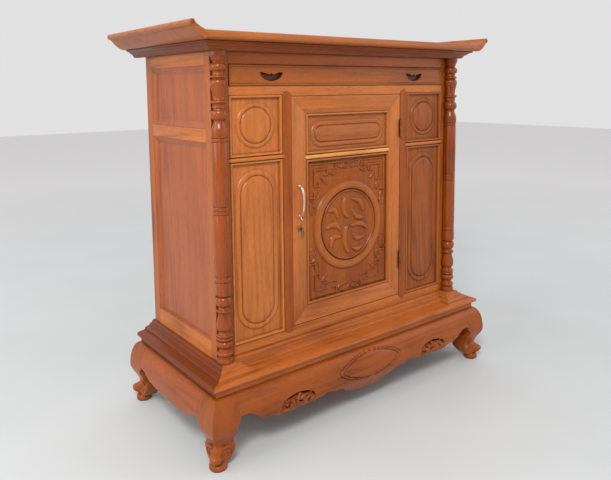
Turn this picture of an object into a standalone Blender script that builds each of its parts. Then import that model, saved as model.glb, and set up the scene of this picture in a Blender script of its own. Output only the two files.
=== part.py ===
# Household altar cabinet in varnished hardwood.
# A flared top on a small cornice, a carcass with turned corner columns,
# one full-width drawer, a framed centre door between two panelled bays,
# a stepped plinth and a stand on four cabriole legs.
# Metres, +Z up, front facing -Y, origin at the middle of the footprint.
import math
import bpy
import bmesh
from mathutils import Vector
from mathutils.geometry import tessellate_polygon

for old in list(bpy.data.objects):
    bpy.data.objects.remove(old, do_unlink=True)

# Main sizes
GAP = 0.0003
TOTAL_HEIGHT = 1.2700
TOP_HALF_WIDTH = 0.6375
TOP_UNDERSIDE = 1.2200
TOP_FLAT = 1.2450
TOP_FRONT = -0.2785
TOP_BACK = 0.3089
TIP_RADIUS = 0.0090
BODY_HALF_WIDTH = 0.5332
FRONT = -0.1895
BACK = 0.2445
BODY_BOTTOM = 0.2775
CORNICE_BOTTOM = 1.1941
STAND_TOP = 0.2085

# Carcass frame
POST_WIDTH = 0.0602
POST_DEPTH = 0.0306
BACK_POST = 0.0405
SIDE_RAIL_DEPTH = 0.0250
RAIL_DEPTH = 0.0250
SIDE_OPENING_TOP = 1.1540
SIDE_MIDDLE_RAIL_TOP = 0.9704
SIDE_MIDDLE_RAIL_BOTTOM = 0.9310
SIDE_OPENING_BOTTOM = 0.3298
DRAWER_TOP = 1.1589
DRAWER_BOTTOM = 1.0932
BAY_TOP = 1.0680
BAY_SPLIT_TOP = 0.8820
BAY_SPLIT_BOTTOM = 0.8690
BAY_BOTTOM = 0.3065
MULLION_INNER = 0.2465
MULLION_OUTER = 0.2815
MULLION_PROUD = 0.0015
MULLION_TIP = 0.0110
FLOOR_THICKNESS = 0.0150
DUST_BOARD_THICKNESS = 0.0100
BACK_BOARD_THICKNESS = 0.0120

# Panels
BEAD_WIDTH = 0.0090
BEAD_PROUD = 0.0025
FIELD_DEPTH = 0.0070
PANEL_THICKNESS = 0.0100
SIDE_BEVEL = 0.0200
SIDE_FIELD_DEPTH = 0.0100

# Door
DOOR_HALF_WIDTH = 0.2453
DOOR_BOTTOM = 0.3155
DOOR_TOP = 1.0612
DOOR_DEPTH = 0.0220
DOOR_PANEL_HALF = 0.1882
DOOR_LOWER_BOTTOM = 0.3728
DOOR_LOWER_TOP = 0.8570
DOOR_UPPER_BOTTOM = 0.8725
DOOR_UPPER_TOP = 1.0060
HINGE_X = 0.2448
HINGE_RADIUS = 0.0042
HINGE_LENGTH = 0.0620
HINGE_HEIGHTS = (0.9386, 0.4471)
RING_HEIGHT = 0.6170
RING_OUTER = 0.1555
RING_INNER = 0.1240
RING_SIDES = 24

# Drawer
DRAWER_HALF_WIDTH = 0.4700
DRAWER_FACE = 0.0200
DRAWER_LENGTH = 0.3900
DRAWER_SIDE = 0.0120
DRAWER_WALL_TOP = 1.1450
RECESS_X = 0.3190
RECESS_WIDTH = 0.0830
RECESS_TOP = 1.1372
RECESS_BOTTOM = 1.1090
RECESS_DEPTH = 0.0120

# Columns
COLUMN_X = 0.5129
COLUMN_FORWARD = 0.0128
COLUMN_SIDES = 8

# Stand
STAND_X = 0.5874
STAND_FRONT = -0.2735
STAND_BACK = 0.2538
LEG_WIDTH = 0.0620
APRON_THICKNESS = 0.0240
APRON_BACK_OUT = 0.0100
KNEE_OUT = 0.0298
KNEE_Z = 0.1250
ANKLE_OUT = 0.0055
ANKLE_Z = 0.0620

# Colours
WOOD = (0.56, 0.22, 0.075, 1.0)
WOOD_DARK = (0.40, 0.13, 0.045, 1.0)
WOOD_PLAIN = (0.50, 0.27, 0.13, 1.0)
BRASS = (0.80, 0.52, 0.30, 1.0)
STEEL = (0.45, 0.40, 0.35, 1.0)


def material(name, colour, roughness, metallic):
    """One plain surface with a colour, a roughness and a metallic value."""
    mat = bpy.data.materials.new(name)
    mat.use_nodes = True
    shader = mat.node_tree.nodes["Principled BSDF"]
    shader.inputs["Base Color"].default_value = colour
    shader.inputs["Roughness"].default_value = roughness
    shader.inputs["Metallic"].default_value = metallic
    return mat


FINISH = {
    "wood": (WOOD, 0.35, 0.0),
    "dark": (WOOD_DARK, 0.35, 0.0),
    "plain": (WOOD_PLAIN, 0.60, 0.0),
    "brass": (BRASS, 0.30, 1.0),
    "steel": (STEEL, 0.40, 1.0),
}


def place(name, bm, finish, round_piece=False, origin=None):
    """Turn a closed mesh into a named object with its origin on the piece."""
    bmesh.ops.remove_doubles(bm, verts=bm.verts, dist=0.00001)
    bmesh.ops.dissolve_degenerate(bm, edges=bm.edges, dist=0.00001)
    bmesh.ops.recalc_face_normals(bm, faces=bm.faces)
    lows = [min(v.co[i] for v in bm.verts) for i in range(3)]
    highs = [max(v.co[i] for v in bm.verts) for i in range(3)]
    if origin is None:
        origin = ((lows[0] + highs[0]) / 2, (lows[1] + highs[1]) / 2, lows[2])
    bmesh.ops.translate(bm, verts=bm.verts, vec=-Vector(origin))
    mesh = bpy.data.meshes.new(name)
    bm.to_mesh(mesh)
    bm.free()
    colour, roughness, metallic = FINISH[finish]
    mesh.materials.append(material(name + " finish", colour, roughness, metallic))
    if round_piece:
        mesh.shade_smooth()
        mesh.set_sharp_from_angle(angle=math.radians(40))
    obj = bpy.data.objects.new(name, mesh)
    obj.location = origin
    bpy.context.collection.objects.link(obj)
    return obj


def loft(loops, strip_ends=False):
    """Closed skin over a row of loops. Loops of unlike count lie in one
    plane, and the flat ring between them is filled with triangles."""
    bm = bmesh.new()
    rows = [[bm.verts.new(p) for p in loop] for loop in loops]
    for a, b in zip(rows, rows[1:]):
        if len(a) == len(b):
            for i in range(len(a)):
                j = (i + 1) % len(a)
                bm.faces.new((a[i], a[j], b[j], b[i]))
        else:
            both = a + b
            outline = [[v.co.copy() for v in a], [v.co.copy() for v in b]]
            for tri in tessellate_polygon(outline):
                bm.faces.new([both[k] for k in tri])
    for row in (rows[0], rows[-1]):
        if not strip_ends:
            bm.faces.new(row)
            continue
        last = len(row) - 1
        for i in range(len(row) // 2 - 1):
            bm.faces.new((row[i], row[i + 1], row[last - i]))
            bm.faces.new((row[i + 1], row[last - i - 1], row[last - i]))
    return bm


def box(name, x0, x1, y0, y1, z0, z1, finish="wood"):
    """A plain squared board."""
    low = [(x0, y0, z0), (x1, y0, z0), (x1, y1, z0), (x0, y1, z0)]
    high = [(x, y, z1) for x, y, z in low]
    return place(name, loft([low, high]), finish)


def prism(outline, start, end, axis):
    """An outline pushed along one axis: x, y or z."""
    def at(p, d):
        return {"x": (d, p[0], p[1]), "y": (p[0], d, p[1]), "z": (p[0], p[1], d)}[axis]
    return loft([[at(p, start) for p in outline], [at(p, end) for p in outline]])


def cut(target, tool, operation="DIFFERENCE"):
    """Boolean one mesh with another and keep the result as the mesh."""
    mod = target.modifiers.new("cut", "BOOLEAN")
    mod.operation = operation
    mod.solver = "EXACT"
    mod.object = tool
    bpy.context.view_layer.update()
    graph = bpy.context.evaluated_depsgraph_get()
    result = bpy.data.meshes.new_from_object(target.evaluated_get(graph))
    target.modifiers.remove(mod)
    keep = list(target.data.materials)
    target.data = result
    result.materials.clear()
    for mat in keep:
        result.materials.append(mat)
    for poly in result.polygons:
        poly.material_index = 0
    bpy.data.objects.remove(tool, do_unlink=True)


def stadium(cx, cz, half_w, half_h, count):
    """Loop of points on an oval with straight sides, or on a circle."""
    radius = min(half_w, half_h)
    run_x = half_w - radius
    run_z = half_h - radius
    points = []
    for i in range(count):
        a = 2 * math.pi * (i + 0.5) / count
        sx = 1 if math.cos(a) > 0 else -1
        sz = 1 if math.sin(a) > 0 else -1
        x = cx + radius * math.cos(a) + sx * run_x
        z = cz + radius * math.sin(a) + sz * run_z
        points.append((x, z))
    return points


def rectangle(x0, x1, z0, z1, inset=0.0):
    """Corners of a rectangle, pulled in by an even margin."""
    return [(x0 + inset, z0 + inset), (x1 - inset, z0 + inset),
            (x1 - inset, z1 - inset), (x0 + inset, z1 - inset)]


def beaded_loops(x0, x1, z0, z1, back, face):
    """Loops from the back of a panel up over its bead and down to its field."""
    crest = face - BEAD_PROUD
    steps = [(0.0, back), (0.0, face - 0.0008), (0.0022, crest), (0.0062, crest),
             (0.0085, face), (BEAD_WIDTH, face + FIELD_DEPTH)]
    return [[(x, y, z) for x, z in rectangle(x0, x1, z0, z1, inset)] for inset, y in steps]


def boss_loops(cx, cz, inner, outer, field, count=16):
    """Loops of a raised oval: a coved rise, a groove line and a low dome."""
    rise = field - 0.0035
    shapes = [(outer[0], outer[1], field),
              (outer[0] - 0.006, outer[1] - 0.006, rise),
              (inner[0], inner[1], rise + 0.0016),
              (inner[0] - 0.004, inner[1] - 0.004, rise - 0.0014),
              (inner[0] - 0.022, inner[1] - 0.022, rise - 0.0034)]
    return [[(x, y, z) for x, z in stadium(cx, cz, hw, hh, count)] for hw, hh, y in shapes]


# Top board with its upturned ends
def top_outline():
    """Half outline of the top from the middle of the underside to the middle
    of the upper face: flat, a hollow rising flare and a rolled tip."""
    outline = [(0.5850, TOP_UNDERSIDE)]
    for i in range(1, 5):
        t = i / 4
        x = 0.5850 + 0.0410 * t
        z = TOP_UNDERSIDE + 0.0312 * (0.35 * t + 0.65 * t * t)
        outline.append((x, z))
    for degrees in (-75, -35, 0, 45, 90, 140):
        a = math.radians(degrees)
        outline.append((TOP_HALF_WIDTH - TIP_RADIUS + TIP_RADIUS * math.cos(a),
                        TOTAL_HEIGHT - TIP_RADIUS + TIP_RADIUS * math.sin(a)))
    for i in range(5):
        t = i / 4
        x = 0.6200 - 0.0290 * t
        z = 1.2620 - 0.0170 * (1.6 * t - 0.6 * t * t)
        outline.append((x, z))
    return outline


def top_board():
    half = top_outline()
    outline = half + [(-x, z) for x, z in reversed(half)]
    middle_z = (TOP_UNDERSIDE + TOP_FLAT) / 2
    steps = [(TOP_BACK, 0.0), (TOP_FRONT + 0.0110, 0.0), (TOP_FRONT + 0.0040, 0.0025),
             (TOP_FRONT, 0.0080)]
    loops = []
    for y, inset in steps:
        loop = []
        for x, z in outline:
            if abs(x) > 0.5855 and not (abs(x) < 0.592 and z > TOP_FLAT - 0.001):
                loop.append((x, y if inset < 0.001 else max(y, TOP_FRONT + 0.0005 + 0.002 * abs(inset)), z))
            else:
                loop.append((x, y, z - inset if z > middle_z else z + inset))
        loops.append(loop)
    return place("top_board", loft(loops), "wood")


top_board()


# Cornice under the top, mitred at the front corners
CORNICE_SHIFT = 0.0180
CORNICE_STEPS = [(0.0176, 0.0), (0.0176, 0.0026), (0.0204, 0.0034), (0.0222, 0.0082),
                 (0.0272, 0.0122), (0.0320, 0.0135), (0.0326, 0.0160), (0.0362, 0.0182),
                 (0.0415, 0.0204), (0.0458, 0.0216), (0.0458, TOP_UNDERSIDE - GAP - CORNICE_BOTTOM)]


def cornice_front():
    loops = []
    for side in (-1, 1):
        slip = GAP if side < 0 else -GAP
        loop = []
        for p, h in [(GAP, 0.0)] + CORNICE_STEPS + [(GAP, CORNICE_STEPS[-1][1])]:
            inner = p <= GAP
            x = side * (BODY_HALF_WIDTH + p) + slip
            y = FRONT - GAP if inner else FRONT - p - CORNICE_SHIFT
            loop.append((x, y, CORNICE_BOTTOM + h))
        loops.append(loop)
    return place("cornice_front", loft(loops), "wood")


def cornice_side(name, side):
    loops = []
    for at_back in (False, True):
        loop = []
        for p, h in [(GAP, 0.0)] + CORNICE_STEPS + [(GAP, CORNICE_STEPS[-1][1])]:
            inner = p <= GAP
            x = side * (BODY_HALF_WIDTH + p)
            y = FRONT - GAP if inner else FRONT - p - CORNICE_SHIFT
            if at_back:
                y = TOP_BACK - 0.0100
            loop.append((x, y, CORNICE_BOTTOM + h))
        loops.append(loop)
    return place(name, loft(loops), "wood")


cornice_front()
cornice_side("cornice_left", -1)
cornice_side("cornice_right", 1)


# Corner posts, side rails and side panels
POST_TOP = TOP_UNDERSIDE - GAP
POST_INNER = BODY_HALF_WIDTH - POST_WIDTH
SIDE_Y0 = FRONT + POST_DEPTH + GAP
SIDE_Y1 = BACK - BACK_POST - GAP
for side_name, side in (("left", -1), ("right", 1)):
    near, far = sorted((side * POST_INNER, side * BODY_HALF_WIDTH))
    box("front_post_" + side_name, near, far, FRONT, FRONT + POST_DEPTH, BODY_BOTTOM, POST_TOP)
    near, far = sorted((side * (BODY_HALF_WIDTH - BACK_POST), side * BODY_HALF_WIDTH))
    box("back_post_" + side_name, near, far, BACK - BACK_POST, BACK, BODY_BOTTOM, POST_TOP)
    near, far = sorted((side * (BODY_HALF_WIDTH - SIDE_RAIL_DEPTH), side * BODY_HALF_WIDTH))
    box("side_top_rail_" + side_name, near, far, SIDE_Y0, SIDE_Y1, SIDE_OPENING_TOP, POST_TOP)
    box("side_middle_rail_" + side_name, near, far, SIDE_Y0, SIDE_Y1,
        SIDE_MIDDLE_RAIL_BOTTOM, SIDE_MIDDLE_RAIL_TOP)
    box("side_bottom_rail_" + side_name, near, far, SIDE_Y0, SIDE_Y1, BODY_BOTTOM, SIDE_OPENING_BOTTOM)
    for level, z0, z1, low_bevel in (("upper", SIDE_MIDDLE_RAIL_TOP, SIDE_OPENING_TOP, SIDE_BEVEL),
                                     ("lower", SIDE_OPENING_BOTTOM, SIDE_MIDDLE_RAIL_BOTTOM, 0.0040)):
        outer = rectangle(SIDE_Y0, SIDE_Y1, z0, z1, GAP)
        field = [(SIDE_Y0 + SIDE_BEVEL, z0 + low_bevel), (SIDE_Y1 - SIDE_BEVEL, z0 + low_bevel),
                 (SIDE_Y1 - SIDE_BEVEL, z1 - SIDE_BEVEL), (SIDE_Y0 + SIDE_BEVEL, z1 - SIDE_BEVEL)]
        face = BODY_HALF_WIDTH - 0.0005
        depths = [(outer, face - SIDE_FIELD_DEPTH - PANEL_THICKNESS), (outer, face),
                  (field, face - SIDE_FIELD_DEPTH)]
        loops = [[(side * x, y, z) for y, z in outline] for outline, x in depths]
        place("side_%s_panel_%s" % (level, side_name), loft(loops), "wood")


# Front rails, mullions and bay rails
def stepped_rail(name, z0, z1, lip_z, lip_low):
    """Front rail with a shallow lip over the width of the door."""
    lip_half = MULLION_INNER - GAP
    end = POST_INNER - GAP
    if lip_low:
        outline = [(-end, z0), (-lip_half, z0), (-lip_half, lip_z), (lip_half, lip_z),
                   (lip_half, z0), (end, z0), (end, z1), (-end, z1)]
    else:
        outline = [(-end, z0), (end, z0), (end, z1), (lip_half, z1), (lip_half, lip_z),
                   (-lip_half, lip_z), (-lip_half, z1), (-end, z1)]
    return place(name, prism(outline, FRONT, FRONT + RAIL_DEPTH, "y"), "wood")


box("front_top_rail", -POST_INNER + GAP, POST_INNER - GAP, FRONT, FRONT + RAIL_DEPTH, DRAWER_TOP, POST_TOP)
stepped_rail("front_drawer_rail", BAY_TOP, DRAWER_BOTTOM, DOOR_TOP + 0.0015, True)
stepped_rail("front_bottom_rail", BODY_BOTTOM, BAY_BOTTOM, DOOR_BOTTOM - 0.0020, False)


def mullion(name, side):
    """Upright between bay and door, with arrow tips lapping the rails."""
    x0 = MULLION_INNER
    x1 = MULLION_OUTER
    middle = (x0 + x1) / 2
    low = BAY_BOTTOM + GAP
    high = BAY_TOP - GAP
    proud = FRONT - MULLION_PROUD
    lap = FRONT - GAP
    plain = [(x0, low), (x1, low), (x1, high), (x0, high)]
    arrow = [(x0, low), (middle, low - MULLION_TIP), (x1, low),
             (x1, high), (middle, high + MULLION_TIP), (x0, high)]
    bm = loft([[(side * x, FRONT + RAIL_DEPTH, z) for x, z in plain],
               [(side * x, lap, z) for x, z in plain]])
    tip = place(name, bm, "wood")
    head = place(name + " arrow", loft([[(side * x, lap, z) for x, z in arrow],
                                        [(side * x, proud, z) for x, z in arrow]]), "wood")
    cut(tip, head, "UNION")
    return tip


def bay_rail(name, side):
    """Short rail between the bay panels with a half-round face and points."""
    x0 = MULLION_OUTER + GAP
    x1 = POST_INNER - GAP
    z0 = BAY_SPLIT_BOTTOM + GAP
    z1 = BAY_SPLIT_TOP - GAP
    middle = (z0 + z1) / 2
    half = (z1 - z0) / 2
    lap = FRONT - MULLION_PROUD - GAP
    core = place(name, loft([[(side * x, FRONT + RAIL_DEPTH, z) for x, z in rectangle(x0, x1, z0, z1)],
                             [(side * x, lap, z) for x, z in rectangle(x0, x1, z0, z1)]]), "wood")
    loops = []
    for i in range(6):
        a = math.radians(180 * i / 5)
        z = middle - half * math.cos(a)
        y = lap - 0.0035 * math.sin(a)
        loops.append((y, z))
    shape = []
    for x, scale in ((x0 - 0.0100, 0.10), (x0 + 0.0010, 1.0), (x1 - 0.0010, 1.0), (x1 + 0.0100, 0.10)):
        shape.append([(side * x, lap + (y - lap) * scale, middle + (z - middle) * scale) for y, z in loops])
    cut(core, place(name + " bead", loft(shape), "wood"), "UNION")
    return core


for side_name, side in (("left", -1), ("right", 1)):
    mullion("mullion_" + side_name, side)
    bay_rail("bay_rail_" + side_name, side)


# Bay panels with their raised ovals
def bay_panel(name, side, z0, z1, inner, outer, centre_z):
    x0 = MULLION_OUTER + GAP
    x1 = POST_INNER - GAP
    low, high = sorted((side * x0, side * x1))
    field = FRONT + FIELD_DEPTH
    loops = beaded_loops(low, high, z0 + GAP, z1 - GAP, field + PANEL_THICKNESS, FRONT)
    loops += boss_loops((low + high) / 2, centre_z, inner, outer, field)
    return place(name, loft(loops), "wood")


for side_name, side in (("left", -1), ("right", 1)):
    bay_panel("bay_upper_panel_" + side_name, side, BAY_SPLIT_TOP, BAY_TOP,
              (0.0550, 0.0550), (0.0690, 0.0690), 0.9760)
    bay_panel("bay_lower_panel_" + side_name, side, BAY_BOTTOM, BAY_SPLIT_BOTTOM,
              (0.0590, 0.2350), (0.0765, 0.2510), 0.5895)


# Back board, cupboard floor and dust board
INSIDE_BACK = BACK - BACK_POST
box("back_board", -BODY_HALF_WIDTH + BACK_POST + GAP, BODY_HALF_WIDTH - BACK_POST - GAP,
    BACK - BACK_BOARD_THICKNESS, BACK - 0.0020, BODY_BOTTOM, POST_TOP, "plain")
BOARD_FRONT = FRONT + RAIL_DEPTH + GAP
BOARD_BACK = BACK - BACK_BOARD_THICKNESS - GAP
BOARD_HALF = BODY_HALF_WIDTH - BACK_POST - GAP


def notched_board(name, z0, z1):
    """Inside board cut round the front posts."""
    notch_x = POST_INNER - GAP
    notch_y = FRONT + POST_DEPTH + GAP
    outline = [(-notch_x, BOARD_FRONT), (notch_x, BOARD_FRONT), (notch_x, notch_y), (BOARD_HALF, notch_y),
               (BOARD_HALF, BOARD_BACK), (-BOARD_HALF, BOARD_BACK), (-BOARD_HALF, notch_y), (-notch_x, notch_y)]
    return place(name, prism(outline, z0, z1, "z"), "plain")


notched_board("cupboard_floor", BODY_BOTTOM, BODY_BOTTOM + FLOOR_THICKNESS)
notched_board("dust_board", DRAWER_BOTTOM - DUST_BOARD_THICKNESS - GAP, DRAWER_BOTTOM - GAP)


# Drawer
def crescent(cx):
    """Bat-shaped finger recess: two horns, a round belly and a top notch."""
    half = RECESS_WIDTH / 2
    points = []
    for i in range(9):
        a = math.radians(180 + 180 * i / 8)
        points.append((cx + half * math.cos(a),
                       RECESS_TOP - 0.002 + (RECESS_TOP - 0.002 - RECESS_BOTTOM) * math.sin(a) * 0.999))
    points += [(cx + half * 0.55, RECESS_TOP - 0.0095), (cx + 0.0070, RECESS_TOP - 0.0120),
               (cx, RECESS_TOP - 0.0080), (cx - 0.0070, RECESS_TOP - 0.0120),
               (cx - half * 0.55, RECESS_TOP - 0.0095)]
    return points


def drawer():
    half = DRAWER_HALF_WIDTH
    low = DRAWER_BOTTOM + 0.0010
    high = DRAWER_TOP - 0.0010
    crest = FRONT - BEAD_PROUD
    steps = [(0.0, FRONT + DRAWER_FACE), (0.0, FRONT - 0.0008), (0.0018, crest), (0.0050, crest),
             (0.0070, FRONT + 0.0012), (0.0080, FRONT + 0.0005)]
    loops = [[(x, y, z) for x, z in rectangle(-half, half, low, high, inset)] for inset, y in steps]
    front = place("drawer_front", loft(loops), "wood")
    for cx in (-RECESS_X, RECESS_X):
        outline = crescent(cx)
        tool = place("recess cutter", loft([[(x, FRONT - 0.01, z) for x, z in outline],
                                            [(x, FRONT + RECESS_DEPTH, z) for x, z in outline]]), "wood")
        cut(front, tool)
    inside = half - DRAWER_SIDE
    y0 = FRONT + DRAWER_FACE + GAP
    y1 = y0 + DRAWER_LENGTH
    z0 = DRAWER_BOTTOM + GAP
    pieces = [front]
    for side_name, side in (("left", -1), ("right", 1)):
        a, b = sorted((side * inside, side * half))
        pieces.append(box("drawer_side_" + side_name, a, b, y0, y1, z0, DRAWER_WALL_TOP, "plain"))
    inner = inside - GAP
    pieces.append(box("drawer_back", -inner, inner, y1 - DRAWER_SIDE, y1, z0, DRAWER_WALL_TOP, "plain"))
    pieces.append(box("drawer_bottom", -inner, inner, y0, y1 - DRAWER_SIDE - GAP, z0, z0 + 0.0060, "plain"))
    return pieces


# Door frame, panels, handle, lock and hinges
def door_frame():
    """Mitred frame with a beaded crossbar, one glued-up body."""
    half = DOOR_HALF_WIDTH
    opening = DOOR_PANEL_HALF + GAP
    frame = box("door_frame", -half, half, FRONT, FRONT + DOOR_DEPTH, DOOR_BOTTOM, DOOR_TOP)
    for z0, z1 in ((DOOR_LOWER_BOTTOM, DOOR_LOWER_TOP), (DOOR_UPPER_BOTTOM, DOOR_UPPER_TOP)):
        tool = place("opening cutter", prism(rectangle(-opening, opening, z0, z1), FRONT - 0.01,
                                             FRONT + DOOR_DEPTH + 0.01, "y"), "wood")
        cut(frame, tool)
    middle = (DOOR_LOWER_TOP + DOOR_UPPER_BOTTOM) / 2
    rise = (DOOR_UPPER_BOTTOM - DOOR_LOWER_TOP) / 2 - GAP
    arc = []
    for i in range(7):
        a = math.radians(180 * i / 6)
        arc.append((FRONT + 0.0020 - 0.0050 * math.sin(a), middle - rise * math.cos(a)))
    strip = [[(x, FRONT + 0.0020 + (y - FRONT - 0.0020) * s, middle + (z - middle) * s) for y, z in arc]
             for x, s in ((-opening - 0.0080, 0.05), (-opening, 1.0), (opening, 1.0), (opening + 0.0080, 0.05))]
    cut(frame, place("crossbar bead", loft(strip), "wood"), "UNION")
    return frame


def ribbon(points, half_width, base, top):
    """Raised strip along a path in the front plane, with mitred turns."""
    left, right = [], []
    for i, (x, z) in enumerate(points):
        before = points[max(i - 1, 0)]
        after = points[min(i + 1, len(points) - 1)]
        d0 = Vector((x - before[0], z - before[1]))
        d1 = Vector((after[0] - x, after[1] - z))
        d0 = d0 if d0.length else d1
        d1 = d1 if d1.length else d0
        d0.normalize()
        d1.normalize()
        tangent = (d0 + d1).normalized()
        normal = Vector((-tangent.y, tangent.x))
        width = half_width[i] if isinstance(half_width, list) else half_width
        reach = width / max(0.5, normal.dot(Vector((-d0.y, d0.x))))
        left.append((x + normal.x * reach, z + normal.y * reach))
        right.append((x - normal.x * reach, z - normal.y * reach))
    loops = []
    for (lx, lz), (rx, rz) in zip(left, right):
        loops.append([(lx, base, lz), (rx, base, rz), (rx, top, rz), (lx, top, lz)])
    return loft(loops)


def brush_stroke(start, bend, end, thick):
    """Points and half widths of a tapering stroke bent once."""
    points, widths = [], []
    for i in range(4):
        t = i / 3
        x = (1 - t) ** 2 * start[0] + 2 * t * (1 - t) * bend[0] + t * t * end[0]
        z = (1 - t) ** 2 * start[1] + 2 * t * (1 - t) * bend[1] + t * t * end[1]
        points.append((x, RING_HEIGHT + z))
        widths.append(thick * (0.35 + 0.65 * math.sin(math.pi * (0.15 + 0.7 * t))))
    return points, widths


FRET_PATHS = (
    ((9.2, 1.9), (11.0, 1.9), (11.0, 0.0), (0.0, 0.0), (0.0, 11.0), (1.9, 11.0), (1.9, 9.2)),
    ((5.8, 3.8), (7.4, 3.8), (7.4, 1.9), (1.9, 1.9), (1.9, 7.4), (3.8, 7.4), (3.8, 5.8)),
)
FRET_UNIT = 0.0102
FRET_MARGIN = 0.0185


def door_lower_panel():
    field = FRONT + FIELD_DEPTH
    half = DOOR_PANEL_HALF
    loops = beaded_loops(-half, half, DOOR_LOWER_BOTTOM + GAP, DOOR_LOWER_TOP - GAP,
                         field + PANEL_THICKNESS, FRONT)
    middle = (RING_OUTER + RING_INNER) / 2
    rings = [(RING_OUTER, field), (RING_OUTER - 0.003, field - 0.0050), (middle, field - 0.0080),
             (RING_INNER + 0.003, field - 0.0050), (RING_INNER, field - 0.0005),
             (RING_INNER - 0.006, field - 0.0022)]
    for radius, y in rings:
        loops.append([(x, y, z) for x, z in stadium(0.0, RING_HEIGHT, radius, radius, RING_SIDES)])
    panel = place("door_lower_panel", loft(loops), "wood")
    inside = field - 0.0022
    for start, bend, end, thick in STROKES:
        points, widths = brush_stroke(start, bend, end, thick)
        cut(panel, place("stroke", ribbon(points, widths, inside + 0.0010, inside - 0.0032), "wood"), "UNION")
    for sx in (-1, 1):
        for sz, cz in ((1, DOOR_LOWER_BOTTOM + FRET_MARGIN), (-1, DOOR_LOWER_TOP - FRET_MARGIN)):
            for path in FRET_PATHS:
                line = [(sx * (FRET_MARGIN - half + FRET_UNIT * u), cz + sz * FRET_UNIT * v) for u, v in path]
                cut(panel, place("fret", ribbon(line, 0.0026, field + 0.0010, field - 0.0020), "wood"), "UNION")
    return panel


# Loose brush strokes inside the ring, drawn so that they spell nothing
STROKES = (
    ((-0.0880, 0.0560), (-0.0620, 0.0720), (-0.0520, 0.0320), 0.0060),
    ((-0.0980, 0.0000), (-0.0640, 0.0200), (-0.0420, -0.0120), 0.0065),
    ((-0.0820, -0.0640), (-0.0800, -0.0260), (-0.0420, -0.0380), 0.0060),
    ((-0.0160, 0.0920), (-0.0360, 0.0480), (-0.0060, 0.0280), 0.0060),
    ((-0.0100, -0.0080), (-0.0320, -0.0560), (-0.0040, -0.0960), 0.0065),
    ((0.0220, 0.0860), (0.0620, 0.0800), (0.0640, 0.0460), 0.0060),
    ((0.0180, 0.0480), (0.0280, 0.0160), (0.0640, 0.0180), 0.0055),
    ((0.0140, -0.0060), (0.0540, 0.0060), (0.0820, -0.0220), 0.0060),
    ((0.0220, -0.0380), (0.0300, -0.0620), (0.0640, -0.0520), 0.0055),
    ((0.0180, -0.0860), (0.0400, -0.1020), (0.0600, -0.0840), 0.0050),
)


def door_upper_panel():
    field = FRONT + FIELD_DEPTH
    half = DOOR_PANEL_HALF
    loops = beaded_loops(-half, half, DOOR_UPPER_BOTTOM + GAP, DOOR_UPPER_TOP - GAP,
                         field + PANEL_THICKNESS, FRONT)
    loops += boss_loops(0.0, 0.9365, (0.1400, 0.0270), (0.1640, 0.0430), field)
    return place("door_upper_panel", loft(loops), "wood")


def tube(path, radii, sides):
    """Round section carried along a path that stays in one upright plane."""
    loops = []
    for i, (y, z) in enumerate(path):
        before = path[max(i - 1, 0)]
        after = path[min(i + 1, len(path) - 1)]
        direction = Vector((after[0] - before[0], after[1] - before[1])).normalized()
        normal = Vector((-direction.y, direction.x))
        ring = []
        for k in range(sides):
            a = 2 * math.pi * k / sides
            side_step = radii[i] * math.cos(a)
            out = radii[i] * math.sin(a)
            ring.append((side_step, y + normal.x * out, z + normal.y * out))
        loops.append(ring)
    return loops


HANDLE_X = -0.2160
HANDLE_Z = 0.7250
HANDLE_HALF = 0.0485
HANDLE_OUT = 0.0215


def handle():
    """Bowed pull with two feet on the door and a small curled tail."""
    path, radii = [], []
    face = FRONT - GAP
    for i in range(8):
        t = i / 7
        z = HANDLE_Z + HANDLE_HALF * math.cos(math.pi * t)
        y = face - HANDLE_OUT * math.sin(math.pi * t) ** 0.8 - 0.0002
        path.append((y, z))
        radii.append(0.0036 + 0.0010 * math.sin(math.pi * t))
    path[0] = (face - 0.0010, HANDLE_Z + HANDLE_HALF)
    path[-1] = (face - 0.0040, HANDLE_Z - HANDLE_HALF + 0.001)
    for k in range(1, 4):
        path.append((face - 0.0042 - 0.0008 * k * k, HANDLE_Z - HANDLE_HALF - 0.0042 * k))
        radii.append(0.0034 - 0.0006 * k)
    loops = [[(HANDLE_X + x, y, z) for x, y, z in ring] for ring in tube(path, radii, 6)]
    pull = place("handle", loft(loops), "brass", True)
    for z in (HANDLE_Z + HANDLE_HALF, HANDLE_Z - HANDLE_HALF):
        foot = [[(HANDLE_X + r * math.cos(a), y, z + r * math.sin(a))
                 for a in (2 * math.pi * k / 8 for k in range(8))]
                for r, y in ((0.0062, face), (0.0062, face - 0.0020), (0.0040, face - 0.0052))]
        cut(pull, place("foot", loft(foot), "brass"), "UNION")
    shape_round(pull)
    return pull


def shape_round(obj):
    """Smooth shading with crisp edges kept."""
    obj.data.shade_smooth()
    obj.data.set_sharp_from_angle(angle=math.radians(40))


LOCK_X = -0.2150
LOCK_Z = 0.6350


def disc_loops(x, z, sections, sides):
    """Turned shape about an axis that runs front to back."""
    return [[(x + r * math.cos(a), y, z + r * math.sin(a))
             for a in (2 * math.pi * k / sides for k in range(sides))] for r, y in sections]


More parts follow.
